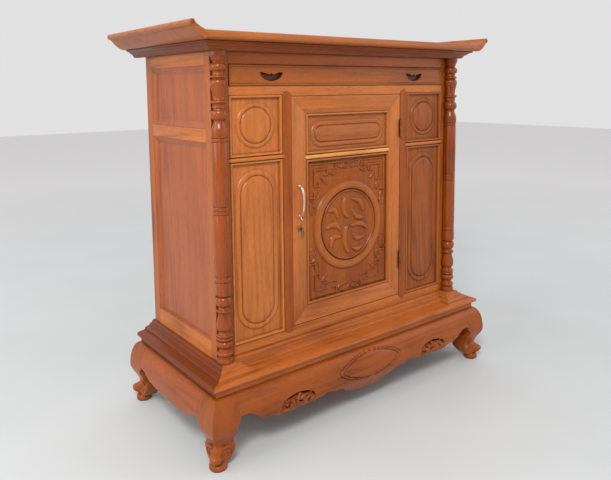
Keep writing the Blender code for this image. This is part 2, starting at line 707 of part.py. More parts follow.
def lock_and_key():
    """Round lock face with a short key left in it."""
    face = FRONT - GAP
    lock = place("lock", loft(disc_loops(LOCK_X, LOCK_Z, ((0.0085, face), (0.0085, face - 0.0015),
                                                           (0.0070, face - 0.0028)), 14)), "steel", True)
    start = face - 0.0028 - GAP
    key = place("key", loft(disc_loops(LOCK_X, LOCK_Z, ((0.0022, start), (0.0022, start - 0.0110)), 8)), "steel")
    bow = [(LOCK_X + 0.0052 * math.cos(a) * (1.0 - 0.25 * math.sin(a)), LOCK_Z - 0.0130 + 0.0190 * math.sin(a))
           for a in (2 * math.pi * (k + 0.5) / 10 for k in range(10))]
    plate = loft([[(x, start - 0.0080, z) for x, z in bow], [(x, start - 0.0105, z) for x, z in bow]])
    cut(key, place("bow", plate, "steel"), "UNION")
    return lock, key


def hinge(name, z):
    """Knuckle barrel with ball ends, screwed to the mullion's edge."""
    y = FRONT - HINGE_RADIUS - 0.0022
    sections = [(0.0018, -0.0030), (0.0030, -0.0015), (HINGE_RADIUS, 0.0)]
    third = HINGE_LENGTH / 3
    for i in range(1, 3):
        sections += [(HINGE_RADIUS, third * i - 0.0005), (HINGE_RADIUS - 0.0006, third * i),
                     (HINGE_RADIUS, third * i + 0.0005)]
    sections += [(HINGE_RADIUS, HINGE_LENGTH), (0.0030, HINGE_LENGTH + 0.0015), (0.0018, HINGE_LENGTH + 0.0030)]
    base = z - HINGE_LENGTH / 2
    loops = [[(HINGE_X + r * math.cos(a), y + r * math.sin(a), base + h)
              for a in (2 * math.pi * k / 8 for k in range(8))] for r, h in sections]
    barrel = place(name, loft(loops), "steel", True)
    leaf_x0 = HINGE_X + 0.0010
    leaf_x1 = MULLION_INNER + 0.0045
    leaf = loft([[(x, yy, base) for x, yy in ((leaf_x0, y), (leaf_x1, y + 0.0030), (leaf_x1, FRONT - MULLION_PROUD - GAP),
                                              (leaf_x0, FRONT - MULLION_PROUD - GAP))],
                 [(x, yy, base + HINGE_LENGTH) for x, yy in ((leaf_x0, y), (leaf_x1, y + 0.0030),
                                                              (leaf_x1, FRONT - MULLION_PROUD - GAP),
                                                              (leaf_x0, FRONT - MULLION_PROUD - GAP))]])
    cut(barrel, place(name + " leaf", leaf, "steel"), "UNION")
    return barrel


# Turned columns
def bead_rows(z0, z1, neck, radius, steps):
    """Half-round swelling of the turning between two necks."""
    rows = []
    for i in range(steps + 1):
        a = math.pi * i / steps
        rows.append((z0 + (z1 - z0) * (1 - math.cos(a)) / 2, neck + (radius - neck) * math.sin(a)))
    return rows


def grooved_rows(marks, radius, groove):
    """Cylinder cut by narrow grooves at the marked heights."""
    rows = [(marks[0] - 0.0020, radius)]
    for z in marks:
        rows += [(z, groove), (z + 0.0020, radius)]
    return rows


def column_sections():
    """Height and radius of the turning, from the base block to the cap."""
    rows = [(BODY_BOTTOM + GAP, 0.0245), (0.2890, 0.0245), (0.2935, 0.0185)]
    rows += bead_rows(0.2960, 0.3110, 0.0185, 0.0240, 3)
    rows += [(0.3185, 0.0165)]
    rows += bead_rows(0.3230, 0.3430, 0.0180, 0.0245, 3)
    rows += [(0.3480, 0.0228), (0.3610, 0.0228), (0.3705, 0.0165)]
    rows += [(0.3790, 0.0222), (0.3920, 0.0235), (0.4270, 0.0165)]
    rows += [(0.4360, 0.0240), (0.4445, 0.0165)]
    rows += bead_rows(0.4500, 0.4780, 0.0180, 0.0245, 3)
    rows += [(0.4815, 0.0165), (0.4845, 0.0240)]
    rows += grooved_rows((0.5225, 0.5395), 0.0234, 0.0212)
    rows += grooved_rows((0.7240, 0.7355, 0.7475), 0.0232, 0.0212)
    rows += grooved_rows((0.9360, 0.9470), 0.0232, 0.0212)
    rows += [(0.9720, 0.0238), (0.9860, 0.0185), (0.9950, 0.0160)]
    rows += bead_rows(0.9990, 1.0270, 0.0175, 0.0250, 3)
    rows += [(1.0320, 0.0180), (1.0420, 0.0172)]
    rows += [(1.0465, 0.0240), (1.0530, 0.0240)]
    rows += [(1.0580, 0.0165), (1.0750, 0.0185), (1.0930, 0.0238), (1.1060, 0.0240), (1.1140, 0.0175)]
    rows += [(1.1210, 0.0235), (1.1310, 0.0165)]
    rows += bead_rows(1.1370, 1.1590, 0.0180, 0.0245, 3)
    rows += [(1.1645, 0.0162), (1.1700, 0.0182), (1.1780, 0.0222), (1.1815, 0.0248)]
    rows += [(CORNICE_BOTTOM - GAP, 0.0248)]
    return rows


def column(name, side):
    """Turned column, flat at the back where it is glued to the post."""
    flat = COLUMN_FORWARD - GAP
    axis_y = FRONT - COLUMN_FORWARD
    loops = []
    for z, radius in column_sections():
        limit = math.pi - math.acos(flat / radius)
        loop = []
        for i in range(COLUMN_SIDES):
            a = -limit + 2 * limit * i / (COLUMN_SIDES - 1)
            loop.append((side * COLUMN_X + radius * math.sin(a), axis_y - radius * math.cos(a), z))
        loops.append(loop)
    return place(name, loft(loops), "dark", True)


column("column_left", -1)
column("column_right", 1)


# Stepped plinth between the carcass and the stand
BLOCK_FORWARD = 0.0357
BLOCK_RIGHT_END = 0.4830
PLINTH_INNER = 0.0310
PLINTH_TOP = BODY_BOTTOM - GAP
PLINTH_BOTTOM = STAND_TOP + GAP
PLINTH_STEPS = [(0.0000, PLINTH_TOP), (0.0080, 0.2742), (0.0095, 0.2685), (0.0180, 0.2655),
                (0.0195, 0.2600), (0.0350, 0.2558), (0.0365, 0.2540)]
NOSING = [(0.0280, 0.2447), (0.0330, 0.2412), (0.0342, 0.2370), (0.0330, 0.2328), (0.0280, 0.2292)]
SIDE_NOSING_BASE = 0.0320
FRONT_NOSING_BASE = 0.0600
RECESS_BACK = 0.0080
WASH_FOOT = 0.2515
WASH_FOOT_BLOCK = 0.2485


def plinth_profile(block, side_member):
    """Section as (outward, height): steps, wash, nosing and recess, then the
    flat inner face with a point at each of the same heights."""
    base = SIDE_NOSING_BASE if side_member else FRONT_NOSING_BASE
    shift = BLOCK_FORWARD if block else 0.0
    points = [(p + shift, z) for p, z in PLINTH_STEPS]
    foot = WASH_FOOT_BLOCK if block or side_member else WASH_FOOT
    points.append((PLINTH_STEPS[-1][0] + 0.0005 + shift, foot))
    points += [(base + p, z) for p, z in NOSING]
    recess = base + NOSING[-1][0] - RECESS_BACK
    points += [(recess, 0.2282), (recess, PLINTH_BOTTOM)]
    heights = [z for _, z in points]
    heights[len(PLINTH_STEPS)] = WASH_FOOT_BLOCK
    return points + [(-PLINTH_INNER, z) for z in reversed(heights)]


def plinth_corner(side):
    """Mitre of the front and side members at one front corner."""
    return [(side * (BODY_HALF_WIDTH + s[0]), FRONT - f[0], f[1])
            for s, f in zip(plinth_profile(False, True), plinth_profile(True, False))]


def plinth_front():
    block = plinth_profile(True, False)
    plain = plinth_profile(False, False)
    steps = len(PLINTH_STEPS) + 1
    loops = []
    for side in (-1, 1):
        turn, back = [], []
        for k, (b, p) in enumerate(zip(block, plain)):
            inward = p[0] if k < steps else PLINTH_STEPS[-1][0]
            reach = BLOCK_RIGHT_END - (inward if k < len(block) // 2 else 0.0)
            turn.append((side * reach, FRONT - b[0], b[1]))
            back.append((side * reach, FRONT - p[0], p[1]))
        corner = [(x - side * GAP, y, z) for x, y, z in plinth_corner(side)]
        loops += [corner, turn, back] if side < 0 else [back, turn, corner]
    return place("plinth_front", loft(loops, True), "wood")


def plinth_side(name, side):
    front_end = plinth_corner(side)
    back_end = [(x, STAND_BACK, z) for x, y, z in front_end]
    return place(name, loft([front_end, back_end], True), "wood")


plinth_front()
plinth_side("plinth_left", -1)
plinth_side("plinth_right", 1)
box("plinth_back", -BODY_HALF_WIDTH + PLINTH_INNER + GAP, BODY_HALF_WIDTH - PLINTH_INNER - GAP,
    BACK - 0.0350, BACK + 0.0050, PLINTH_BOTTOM, PLINTH_TOP, "plain")


# Stand: cabriole legs and shaped aprons
def swell(z):
    """How far the outer face stands out from the stand's plane at a height:
    a quarter oval down to the knee, then an easy curve in to the ankle."""
    if z >= KNEE_Z:
        t = (z - KNEE_Z) / (STAND_TOP - KNEE_Z)
        return -0.001 + (KNEE_OUT + 0.001) * math.sqrt(max(0.0, 1 - t * t))
    t = max(0.0, (z - ANKLE_Z) / (KNEE_Z - ANKLE_Z))
    return ANKLE_OUT + (KNEE_OUT - ANKLE_OUT) * (1 - math.cos(math.pi * t)) / 2


# Height of a leg section, how far its toe stands out, and how far it runs in
LEG_SECTIONS = (
    (0.2085, None, None), (0.2068, None, None), (0.2010, None, None), (0.1880, None, None),
    (0.1650, None, None), (0.1350, None, None), (0.1280, None, 0.0550), (0.1200, None, 0.0495),
    (0.1110, None, 0.0490), (0.1045, None, 0.0560), (0.0995, None, 0.0595), (0.0930, None, 0.0560),
    (0.0840, None, 0.0510), (0.0660, None, 0.0545), (0.0590, 0.0090, 0.0560),
    (0.0490, 0.0262, 0.0545), (0.0420, 0.0312, 0.0520), (0.0350, 0.0310, 0.0475),
    (0.0290, 0.0260, 0.0430), (0.0240, 0.0190, 0.0395), (0.0200, 0.0130, 0.0365),
)
FOOT_FACE_OUT = 0.0090
PAD_CENTRE = 0.0050
PAD_ANGLES = (45, 24, -8, -40, -78, -135, -192, -230, -262, -294)
PAD_SECTIONS = ((0.0165, 0.0240), (0.0125, 0.0280), (0.0035, 0.0280), (0.0000, 0.0255))


def leg_ring(z, toe, run_in):
    """Section of a leg as (outward x, outward y): a square whose outer
    corner draws out into the toe."""
    face = swell(z) if toe is None else FOOT_FACE_OUT * min(1.0, 0.5 + toe / 0.02)
    tip = face if toe is None else toe
    inner = LEG_WIDTH - GAP if run_in is None else run_in
    blunt = 0.0010 + (0.0 if toe is None else 0.25 * (tip - min(face, tip)))
    flank = -0.0120 + 0.25 * (tip - face)
    return [(tip - 0.3 * blunt, tip - 0.3 * blunt), (tip, tip - blunt * 2), (face, flank),
            (face, -0.6 * inner), (face, -inner), (-inner, -inner), (-inner, face),
            (-0.6 * inner, face), (flank, face), (tip - blunt * 2, tip)]


def leg(name, sx, sy):
    """Square cabriole leg with a flicked toe on a round pad."""
    corner_x = sx * STAND_X
    corner_y = STAND_FRONT if sy < 0 else STAND_BACK
    rings = [(z, leg_ring(z, toe, run_in)) for z, toe, run_in in LEG_SECTIONS]
    for z, radius in PAD_SECTIONS:
        rings.append((z, [(radius * math.cos(math.radians(d)) - PAD_CENTRE,
                           radius * math.sin(math.radians(d)) - PAD_CENTRE) for d in PAD_ANGLES]))
    loops = [[(corner_x + sx * u, corner_y + sy * v, z) for u, v in ring] for z, ring in rings]
    return place(name, loft(loops), "wood")


leg("leg_front_left", -1, -1)
leg("leg_front_right", 1, -1)
leg("leg_back_left", -1, 1)
leg("leg_back_right", 1, 1)


def edge_between(marks, at):
    """Height of a shaped lower edge, eased between its marks."""
    for (a0, z0), (a1, z1) in zip(marks, marks[1:]):
        if at <= a1:
            t = (at - a0) / (a1 - a0)
            t = (1 - math.cos(math.pi * t)) / 2
            return z0 + (z1 - z0) * t
    return marks[-1][1]


APRON_DROPS = (0.0, 0.04, 0.16, 0.45, 1.0)


def apron(name, marks, stations, to_world, finish="wood"):
    """Board whose face swells like the legs, with a shaped lower edge."""
    loops = []
    for s in stations:
        low = edge_between(marks, abs(s))
        heights = [STAND_TOP - (STAND_TOP - low) * t for t in APRON_DROPS]
        outer = [(swell(z), z) for z in heights]
        inner = [(APRON_BACK_OUT - APRON_THICKNESS, low), (-APRON_THICKNESS, STAND_TOP)]
        loops.append([to_world(s, d, z) for d, z in outer + inner])
    return place(name, loft(loops), finish)


FRONT_EDGE = ((0.0, 0.0660), (0.0550, 0.0670), (0.0900, 0.0800), (0.1380, 0.1060), (0.1560, 0.1040),
              (0.1800, 0.1120), (0.1980, 0.1165), (0.2130, 0.1080), (0.2250, 0.1040), (0.2350, 0.1060),
              (0.2450, 0.0995), (0.2600, 0.0990), (0.2690, 0.1060), (0.2780, 0.1000), (0.2920, 0.1010),
              (0.3060, 0.1090), (0.3170, 0.1040), (0.3330, 0.0995), (0.3440, 0.1040), (0.3560, 0.0975),
              (0.3720, 0.0970), (0.3850, 0.1000), (0.4030, 0.1110), (0.4150, 0.1130), (0.4300, 0.1130),
              (0.4520, 0.1230), (0.4720, 0.1370), (0.4920, 0.1470), (0.5130, 0.1490), (0.5300, 0.1420))
SIDE_EDGE = ((0.0, 0.1010), (0.0480, 0.1040), (0.0660, 0.1120), (0.0880, 0.1125), (0.1180, 0.1190),
             (0.1300, 0.1180), (0.1520, 0.1290), (0.1760, 0.1400), (0.2020, 0.1420))


def stations_for(marks, end, steps=1):
    """Places along an apron that catch every mark of its lower edge."""
    places = set()
    for (a0, _), (a1, _) in zip(marks, marks[1:]):
        for i in range(steps + 1):
            a = a0 + (a1 - a0) * i / steps
            if a < end - 0.001:
                places.add(round(a, 5))
    ordered = sorted(places) + [end]
    return [-a for a in reversed(ordered) if a > 0] + ordered


def front_apron():
    end = STAND_X - LEG_WIDTH - GAP
    board = apron("apron_front", FRONT_EDGE, stations_for(FRONT_EDGE, end),
                  lambda s, d, z: (s, STAND_FRONT - d, z))
    lozenge = []
    for k in range(16):
        a = 2 * math.pi * (k + 0.5) / 16
        cosine, sine = math.cos(a), math.sin(a)
        lozenge.append((math.copysign(abs(cosine) ** LOZENGE_POWER, cosine),
                        math.copysign(abs(sine) ** LOZENGE_POWER, sine)))
    loops = []
    for half_x, half_z, lift in ((0.1380, 0.0450, -0.0060), (0.1360, 0.0435, 0.0025), (0.1280, 0.0375, 0.0012),
                                 (0.1240, 0.0350, 0.0032), (0.0800, 0.0220, 0.0058)):
        loops.append([(x * half_x, STAND_FRONT - swell(LOZENGE_Z + z * half_z) - lift,
                       LOZENGE_Z + z * half_z) for x, z in lozenge])
    cut(board, place("lozenge", loft(loops), "wood"), "UNION")
    for side in (-1, 1):
        for slot in ARCH_SLOTS:
            upper, lower = [], []
            for k in range(3):
                t = slot[0] + (slot[1] - slot[0]) * k / 2
                x, z = arch_point(t)
                upper.append((side * x, z))
                drop = ARCH_SLOT_WIDTH * (0.45 + 0.55 * math.sin(math.pi * (k + 0.5) / 3))
                lower.append((side * (x + (ARCH_CENTRE - x) * drop / ARCH_HALF), z - drop))
            tool = prism(upper + lower[::-1], STAND_FRONT - 0.05, STAND_FRONT + 0.03, "y")
            cut(board, place("slot", tool, "wood"))
        for x, z, half_x, half_z, lean in PIERCINGS:
            hole = []
            for k in range(6):
                a = 2 * math.pi * k / 6
                u = half_x * math.cos(a)
                v = half_z * math.sin(a)
                hole.append((side * (x + u * math.cos(lean) - v * math.sin(lean)),
                             z + u * math.sin(lean) + v * math.cos(lean)))
            cut(board, place("piercing", prism(hole, STAND_FRONT - 0.05, STAND_FRONT + 0.03, "y"), "wood"))
    return board


LOZENGE_Z = 0.1550
LOZENGE_POWER = 1.25

# Arched openwork over the carved leaves, and the gaps between the leaves
ARCH_CENTRE = 0.3130
ARCH_HALF = 0.0660
ARCH_SLOT_WIDTH = 0.0130
ARCH_SLOTS = ((0.03, 0.24), (0.28, 0.50), (0.54, 0.75), (0.79, 0.97))
PIERCINGS = (
    (0.3520, 0.1200, 0.0045, 0.0080, 0.5),
    (0.3080, 0.1230, 0.0110, 0.0040, 0.4),
    (0.2730, 0.1190, 0.0040, 0.0080, 0.3),
)


def arch_point(t):
    """Place on the arch over the leaves, from its outer to its inner foot."""
    a = math.pi * t
    x = ARCH_CENTRE + ARCH_HALF * math.cos(a)
    z = 0.1180 + 0.0360 * math.sin(a) ** 0.7
    return x, z


front_apron()
BACK_EDGE = ((0.0, 0.1200), (0.4200, 0.1200), (0.5160, 0.1480), (0.5300, 0.1400))
BACK_END = STAND_X - LEG_WIDTH - GAP
apron("apron_back", BACK_EDGE, [-BACK_END, -0.468, -0.42, 0.42, 0.468, BACK_END],
      lambda s, d, z: (s, STAND_BACK + d, z), "plain")
STAND_MIDDLE_Y = (STAND_FRONT + STAND_BACK) / 2
SIDE_END = (STAND_BACK - STAND_FRONT) / 2 - LEG_WIDTH - GAP
for side_name, side in (("left", -1), ("right", 1)):
    apron("apron_" + side_name, SIDE_EDGE, stations_for(SIDE_EDGE, SIDE_END),
          lambda s, d, z, side=side: (side * (STAND_X + d), STAND_MIDDLE_Y + s, z))


# Moving groups
def group(name, location, members):
    """Parent pieces to an empty that stands on their joint's axis."""
    pivot = bpy.data.objects.new(name, None)
    pivot.location = location
    bpy.context.collection.objects.link(pivot)
    for member in members:
        member.parent = pivot
        member.location = Vector(member.location) - Vector(location)
    return pivot


group("drawer_slide", (0.0, FRONT, DRAWER_BOTTOM), drawer())
door_pieces = [door_frame(), door_lower_panel(), door_upper_panel(), handle()]
door_pieces += list(lock_and_key())
group("door_pivot", (HINGE_X, FRONT - HINGE_RADIUS - 0.0022, DOOR_BOTTOM), door_pieces)
hinge("hinge_upper", HINGE_HEIGHTS[0])
hinge("hinge_lower", HINGE_HEIGHTS[1])
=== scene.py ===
import math
import bpy
import numpy as np
from mathutils import Matrix


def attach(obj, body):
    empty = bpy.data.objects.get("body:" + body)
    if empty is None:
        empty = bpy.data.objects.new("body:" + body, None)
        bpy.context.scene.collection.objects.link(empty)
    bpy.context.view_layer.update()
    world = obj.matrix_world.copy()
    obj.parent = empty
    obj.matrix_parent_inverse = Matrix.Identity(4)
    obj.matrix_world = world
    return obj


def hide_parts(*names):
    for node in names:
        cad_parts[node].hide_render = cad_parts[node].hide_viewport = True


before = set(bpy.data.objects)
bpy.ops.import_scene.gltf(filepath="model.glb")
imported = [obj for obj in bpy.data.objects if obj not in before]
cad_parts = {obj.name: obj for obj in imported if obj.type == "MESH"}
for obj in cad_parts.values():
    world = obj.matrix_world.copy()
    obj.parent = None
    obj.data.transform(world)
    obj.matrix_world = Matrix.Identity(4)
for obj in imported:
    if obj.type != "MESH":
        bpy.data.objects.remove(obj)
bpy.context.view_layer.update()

# Stand: four square cabriole legs of solid hardwood, each sawn and carved from
# one block, with a flicked toe, a small volute on each outer face of the foot
# and a round pad underneath. Stained and varnished like the rest.
STAND_TOP = 0.2085
STAND_X = 0.5874
STAND_FRONT = -0.2735
STAND_BACK = 0.2538
KNEE_OUT = 0.0298
KNEE_Z = 0.125
ANKLE_OUT = 0.0055
ANKLE_Z = 0.062
LEG_WIDTH = 0.062
FIT = 0.0003
# Height, how far the toe reaches out, how far the inner faces pull in
LEG_MARKS = (
    (0.2085, None, None), (0.2068, None, None), (0.201, None, None), (0.188, None, None),
    (0.165, None, None), (0.135, None, None), (0.128, None, 0.055), (0.12, None, 0.0495),
    (0.111, None, 0.049), (0.1045, None, 0.056), (0.0995, None, 0.0595), (0.093, None, 0.056),
    (0.084, None, 0.051), (0.074, None, 0.052), (0.066, None, 0.0545),
    (0.059, 0.009, 0.056), (0.053, 0.019, 0.0555), (0.048, 0.0268, 0.0545),
    (0.042, 0.0302, 0.052), (0.035, 0.03, 0.0475), (0.029, 0.0252, 0.043),
    (0.024, 0.0185, 0.0395), (0.02, 0.013, 0.0365),
)
FOOT_FACE_OUT = 0.009
PAD_CENTRE = 0.005
PAD_MARKS = ((0.0165, 0.024), (0.0145, 0.0268), (0.012, 0.0279), (0.0035, 0.0279),
             (0.0, 0.0262))
GOLDEN = (0.45, 0.128, 0.025)
GOLDEN_DARK = (0.25, 0.058, 0.01)
RED_BROWN = (0.33, 0.083, 0.023)
RED_BROWN_DARK = (0.2, 0.045, 0.013)
STAND_BROWN = (0.28, 0.06, 0.006)
STAND_DARK = (0.145, 0.028, 0.003)


class Sheet:
    """A material under construction: makes nodes and joins them."""

    def __init__(self, name):
        self.mat = bpy.data.materials.new(name)
        self.mat.use_nodes = True
        self.tree = self.mat.node_tree
        self.shader = self.tree.nodes["Principled BSDF"]

    def join(self, value, socket):
        """Link another node's output to the socket, or set its own value."""
        if isinstance(value, bpy.types.NodeSocket):
            self.tree.links.new(value, socket)
        elif socket.type == "RGBA":
            socket.default_value = (*value, 1.0)
        else:
            socket.default_value = value

    def put(self, socket, value):
        self.join(value, self.shader.inputs[socket])

    def node(self, kind, inputs, **settings):
        made = self.tree.nodes.new("ShaderNode" + kind)
        for key, value in settings.items():
            setattr(made, key, value)
        for key, value in inputs.items():
            self.join(value, made.inputs[key])
        return made

    def noise(self, vector, scale, detail, rough=0.5, distortion=0.0):
        return self.node("TexNoise", {"Vector": vector, "Scale": scale, "Detail": detail,
                                      "Roughness": rough, "Distortion": distortion}).outputs[0]

    def maths(self, operation, a, b=0.0, c=0.0):
        return self.node("Math", {0: a, 1: b, 2: c}, operation=operation).outputs[0]

    def ramp(self, factor, stops):
        made = self.node("ValToRGB", {0: factor})
        marks = made.color_ramp.elements
        while len(marks) < len(stops):
            marks.new(0.5)
        for mark, (place, colour) in zip(marks, stops):
            mark.position = place
            mark.color = (*(colour if isinstance(colour, tuple) else (colour,) * 3), 1.0)
        return made.outputs[0]

    def mix(self, factor, a, b, blend="MIX"):
        made = self.node("Mix", {}, data_type="RGBA", blend_type=blend)
        for key, value in ((0, factor), (6, a), (7, b)):
            self.join(value, made.inputs[key])
        return made.outputs[2]

    def place(self):
        """Position in the object's own frame, in metres."""
        return self.node("TexCoord", {}).outputs["Object"]

    def hollows(self, reach, samples):
        return self.node("AmbientOcclusion", {"Distance": reach}, samples=samples).outputs["AO"]

    def relief(self, height, strength, distance):
        self.put("Normal", self.node("Bump", {"Height": height, "Strength": strength,
                                              "Distance": distance}).outputs[0])


def varnished(name, along, light, dark, seed, figure=9.0, rough=0.34, coat=0.08,
              shade_and_grime=0.85, bleach=0.6, crest=None):
    """Stained hardwood under clear varnish. Growth rings are the contour
    lines of a noise drawn out along the grain; pores are short fine streaks;
    the colour is darkened in the hollows as painted shade with some grime,
    pales on the edges where the stain wears thin and, with crest, takes a
    painted highlight colour on whatever stands further forward than the two
    given depths."""
    s = Sheet(name)
    stretch = {"x": (0.07, 1.0, 1.0), "y": (1.0, 0.07, 1.0), "z": (1.0, 1.0, 0.07)}[along]
    coords = s.place()
    shift = (seed * 0.37, seed * 0.61, seed * 0.23)
    grain = s.node("Mapping", {"Vector": coords, "Location": shift,
                               "Scale": stretch}).outputs[0]
    broad = s.noise(grain, 7.0, 3.0, 0.45, 0.35)
    lines = s.maths("PINGPONG", s.maths("MULTIPLY", broad, figure), 0.5)
    lines = s.maths("MULTIPLY", lines, 2.0)
    streak = s.noise(grain, 95.0, 5.0, 0.62)
    pore = s.noise(grain, 620.0, 2.0)
    blotch = s.noise(coords, 3.2, 2.0)
    tone = s.maths("ADD", s.maths("MULTIPLY", lines, 0.17), s.maths("MULTIPLY", streak, 0.42))
    tone = s.maths("ADD", tone, s.maths("MULTIPLY", blotch, 0.5))
    bright = tuple(min(1.0, 1.3 * c) for c in light)
    colour = s.ramp(tone, ((0.3, dark), (0.52, light), (0.8, bright)))
    # Painted highlight: with crest, whatever stands forward of the back depth is mixed towards a
    # lighter colour, most strongly at the fore depth
    if crest:
        crest_highlight, back, fore = crest
        forward = s.node("SeparateXYZ", {"Vector": coords}).outputs["Y"]
        share = s.node("MapRange", {"Value": forward, "From Min": back,
                                    "From Max": fore}).outputs[0]
        colour = s.mix(s.maths("MULTIPLY", share, 0.85), colour, crest_highlight)
    pores = s.ramp(pore, ((0.36, 0.78), (0.47, 1.0)))
    colour = s.mix(1.0, colour, pores, "MULTIPLY")
    # Painted shade, with some grime: the colour is darkened wherever ambient occlusion finds a
    # hollow
    hollow = s.hollows(0.0075, 6)
    hollow_shade_and_grime = s.ramp(hollow, ((0.36, 1.0 - shade_and_grime), (0.9, 1.0)))
    colour = s.mix(1.0, colour, hollow_shade_and_grime, "MULTIPLY")
    rounded = s.node("Bevel", {"Radius": 0.0022}, samples=4).outputs[0]
    true = s.node("NewGeometry", {}).outputs["Normal"]
    bend = s.node("VectorMath", {0: rounded, 1: true}, operation="DOT_PRODUCT").outputs["Value"]
    edge = s.ramp(bend, ((0.72, 1.0), (0.985, 0.0)))
    patchy = s.ramp(streak, ((0.38, 0.25), (0.62, 1.0)))
    worn = s.maths("MULTIPLY", s.maths("MULTIPLY", edge, hollow), patchy)
    worn = s.maths("MULTIPLY", worn, bleach)
    pale = tuple(min(1.0, c * 1.55 + 0.05) for c in light)
    colour = s.mix(worn, colour, pale)
    s.put("Base Color", colour)
    gloss = s.maths("MULTIPLY_ADD", streak, 0.18, rough - 0.09)
    s.put("Roughness", s.maths("MULTIPLY_ADD", worn, 0.25, gloss))
    s.put("Coat Weight", coat)
    s.put("Coat Roughness", 0.2)
    s.put("Specular IOR Level", 0.26)
    height = s.maths("MULTIPLY_ADD", pores, 0.5, s.maths("MULTIPLY", streak, 0.35))
    height = s.maths("MULTIPLY_ADD", s.noise(coords, 70.0, 1.0), 0.35, height)
    s.relief(height, 0.22, 0.0006)
    return s.mat


def volume_of(points, quads):
    """Six times the space inside the quads, below zero if they face inwards:
    each quad's two triangles give the triple product of their corners."""
    a, b, c, d = (points[quads[:, k]] for k in range(4))
    return (np.cross(b - a, c - a) * a).sum() + (np.cross(c - a, d - a) * a).sum()


def new_mesh(name, points, faces):
    mesh = bpy.data.meshes.new(name)
    mesh.from_pydata(points.tolist(), [], faces)
    mesh.update()
    return mesh


def rows_mesh(name, rows):
    """Closed skin over an array of loops (rows, points, xyz): quads between
    neighbouring loops, one flat face at each end, turned to face outwards."""
    count, per, _ = rows.shape
    index = np.arange(count * per).reshape(count, per)
    after = np.roll(index, -1, axis=1)
    quads = np.stack((index[:-1], after[:-1], after[1:], index[1:]), axis=-1).reshape(-1, 4)
    points = rows.reshape(-1, 3)
    volume = volume_of(points, quads)
    for end, sign in ((index[0], -1.0), (index[-1], 1.0)):
        fan = points[end] - points[end].mean(0)
        turn = np.cross(fan, np.roll(fan, -1, axis=0)).sum(0)
        volume += sign * (turn * points[end].mean(0)).sum()
    faces = quads.tolist() + [index[0][::-1].tolist(), index[-1].tolist()]
    return new_mesh(name, points, faces if volume >= 0 else [face[::-1] for face in faces])


def circle(count):
    """Angles of that many points evenly round a circle."""
    return np.linspace(0.0, 2 * math.pi, count + 1)[:-1]


def finish_piece(name, shape, material, body, replaced=(), sharp=38.0):
    """Put a mesh, or an array of loops, in the scene as a piece that rides
    with a body. Edges sharper than the given angle stay crisp."""
    mesh = rows_mesh(name, shape) if isinstance(shape, np.ndarray) else shape
    mesh.materials.append(material)
    mesh.shade_smooth()
    mesh.set_sharp_from_angle(angle=math.radians(sharp))
    piece = bpy.data.objects.new(name, mesh)
    bpy.context.scene.collection.objects.link(piece)
    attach(piece, body)
    if replaced:
        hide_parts(*replaced)
    return piece


def swell(z):
    """How far a face stands out at a height: a quarter oval from the stand's
    top down to the knee, then an eased curve in to the ankle."""
    z = np.asarray(z, float)
    up = np.clip((z - KNEE_Z) / (STAND_TOP - KNEE_Z), 0.0, 1.0)
    down = np.clip((z - ANKLE_Z) / (KNEE_Z - ANKLE_Z), 0.0, 1.0)
    upper = -0.001 + (KNEE_OUT + 0.001) * np.sqrt(1.0 - up ** 2)
    lower = ANKLE_OUT + (KNEE_OUT - ANKLE_OUT) * (1.0 - np.cos(math.pi * down)) / 2.0
    return np.where(z >= KNEE_Z, upper, lower)


def rounded_loops(loops, reach):
    """Ease the corners of each loop: every corner gives way to a short
    curve that leaves its two sides at the corner's own reach from it."""
    reach = np.asarray(reach, float)[None, :, None]
    before = np.roll(loops, 1, axis=1) - loops
    after = np.roll(loops, -1, axis=1) - loops
    long_before = np.linalg.norm(before, axis=2, keepdims=True)
    long_after = np.linalg.norm(after, axis=2, keepdims=True)
    start = loops + before / long_before * np.minimum(reach, 0.45 * long_before)
    end = loops + after / long_after * np.minimum(reach, 0.45 * long_after)
    t = np.linspace(0.0, 1.0, 5)[None, None, :, None]
    curve = ((1 - t) ** 2 * start[:, :, None] + 2 * t * (1 - t) * loops[:, :, None]
             + t ** 2 * end[:, :, None])
    return curve.reshape(loops.shape[0], -1, loops.shape[2])


def eased_rows(levels, loops, count):
    """Loops at more levels, between the given ones, on a cubic through the
    neighbours whose slopes never overshoot."""
    levels = np.asarray(levels, float)
    step = np.diff(levels)[:, None, None]
    slope = np.diff(loops, axis=0) / step
    bend = np.zeros_like(loops)
    same = slope[:-1] * slope[1:] > 0
    mean = 2 * slope[:-1] * slope[1:] / np.where(same, slope[:-1] + slope[1:], 1.0)
    bend[1:-1] = np.where(same, mean, 0.0)
    bend[0], bend[-1] = slope[0], slope[-1]
    places = np.concatenate([np.linspace(a, b, count, endpoint=False)
                             for a, b in zip(levels, levels[1:])] + [levels[-1:]])
    k = np.clip(np.searchsorted(-levels, -places, side="right") - 1, 0, len(levels) - 2)
    t = ((places - levels[k]) / (levels[k + 1] - levels[k]))[:, None, None]
    h = (levels[k + 1] - levels[k])[:, None, None]
    rows = ((2 * t ** 3 - 3 * t ** 2 + 1) * loops[k] + (t ** 3 - 2 * t ** 2 + t) * h * bend[k]
            + (3 * t ** 2 - 2 * t ** 3) * loops[k + 1] + (t ** 3 - t ** 2) * h * bend[k + 1])
    return places, rows


def leg_loop(z, toe, run_in):
    """Section as (outward x, outward y): a square whose outer corner draws
    out into the toe and whose inner faces pull in at the notch."""
    face = float(swell(z)) if toe is None else FOOT_FACE_OUT * min(1.0, 0.5 + toe / 0.02)
    tip = face if toe is None else toe
    inner = LEG_WIDTH - FIT if run_in is None else run_in
    blunt = 0.001 + (0.0 if toe is None else 0.55 * (tip - min(face, tip)))
    flank = -0.012 + 0.25 * (tip - face)
    return [(tip - 0.3 * blunt, tip - 0.3 * blunt), (tip, tip - blunt * 2), (face, flank),
            (face, -0.6 * inner), (face, -inner), (-inner, -inner), (-inner, face),
            (-0.6 * inner, face), (flank, face), (tip - blunt * 2, tip)]


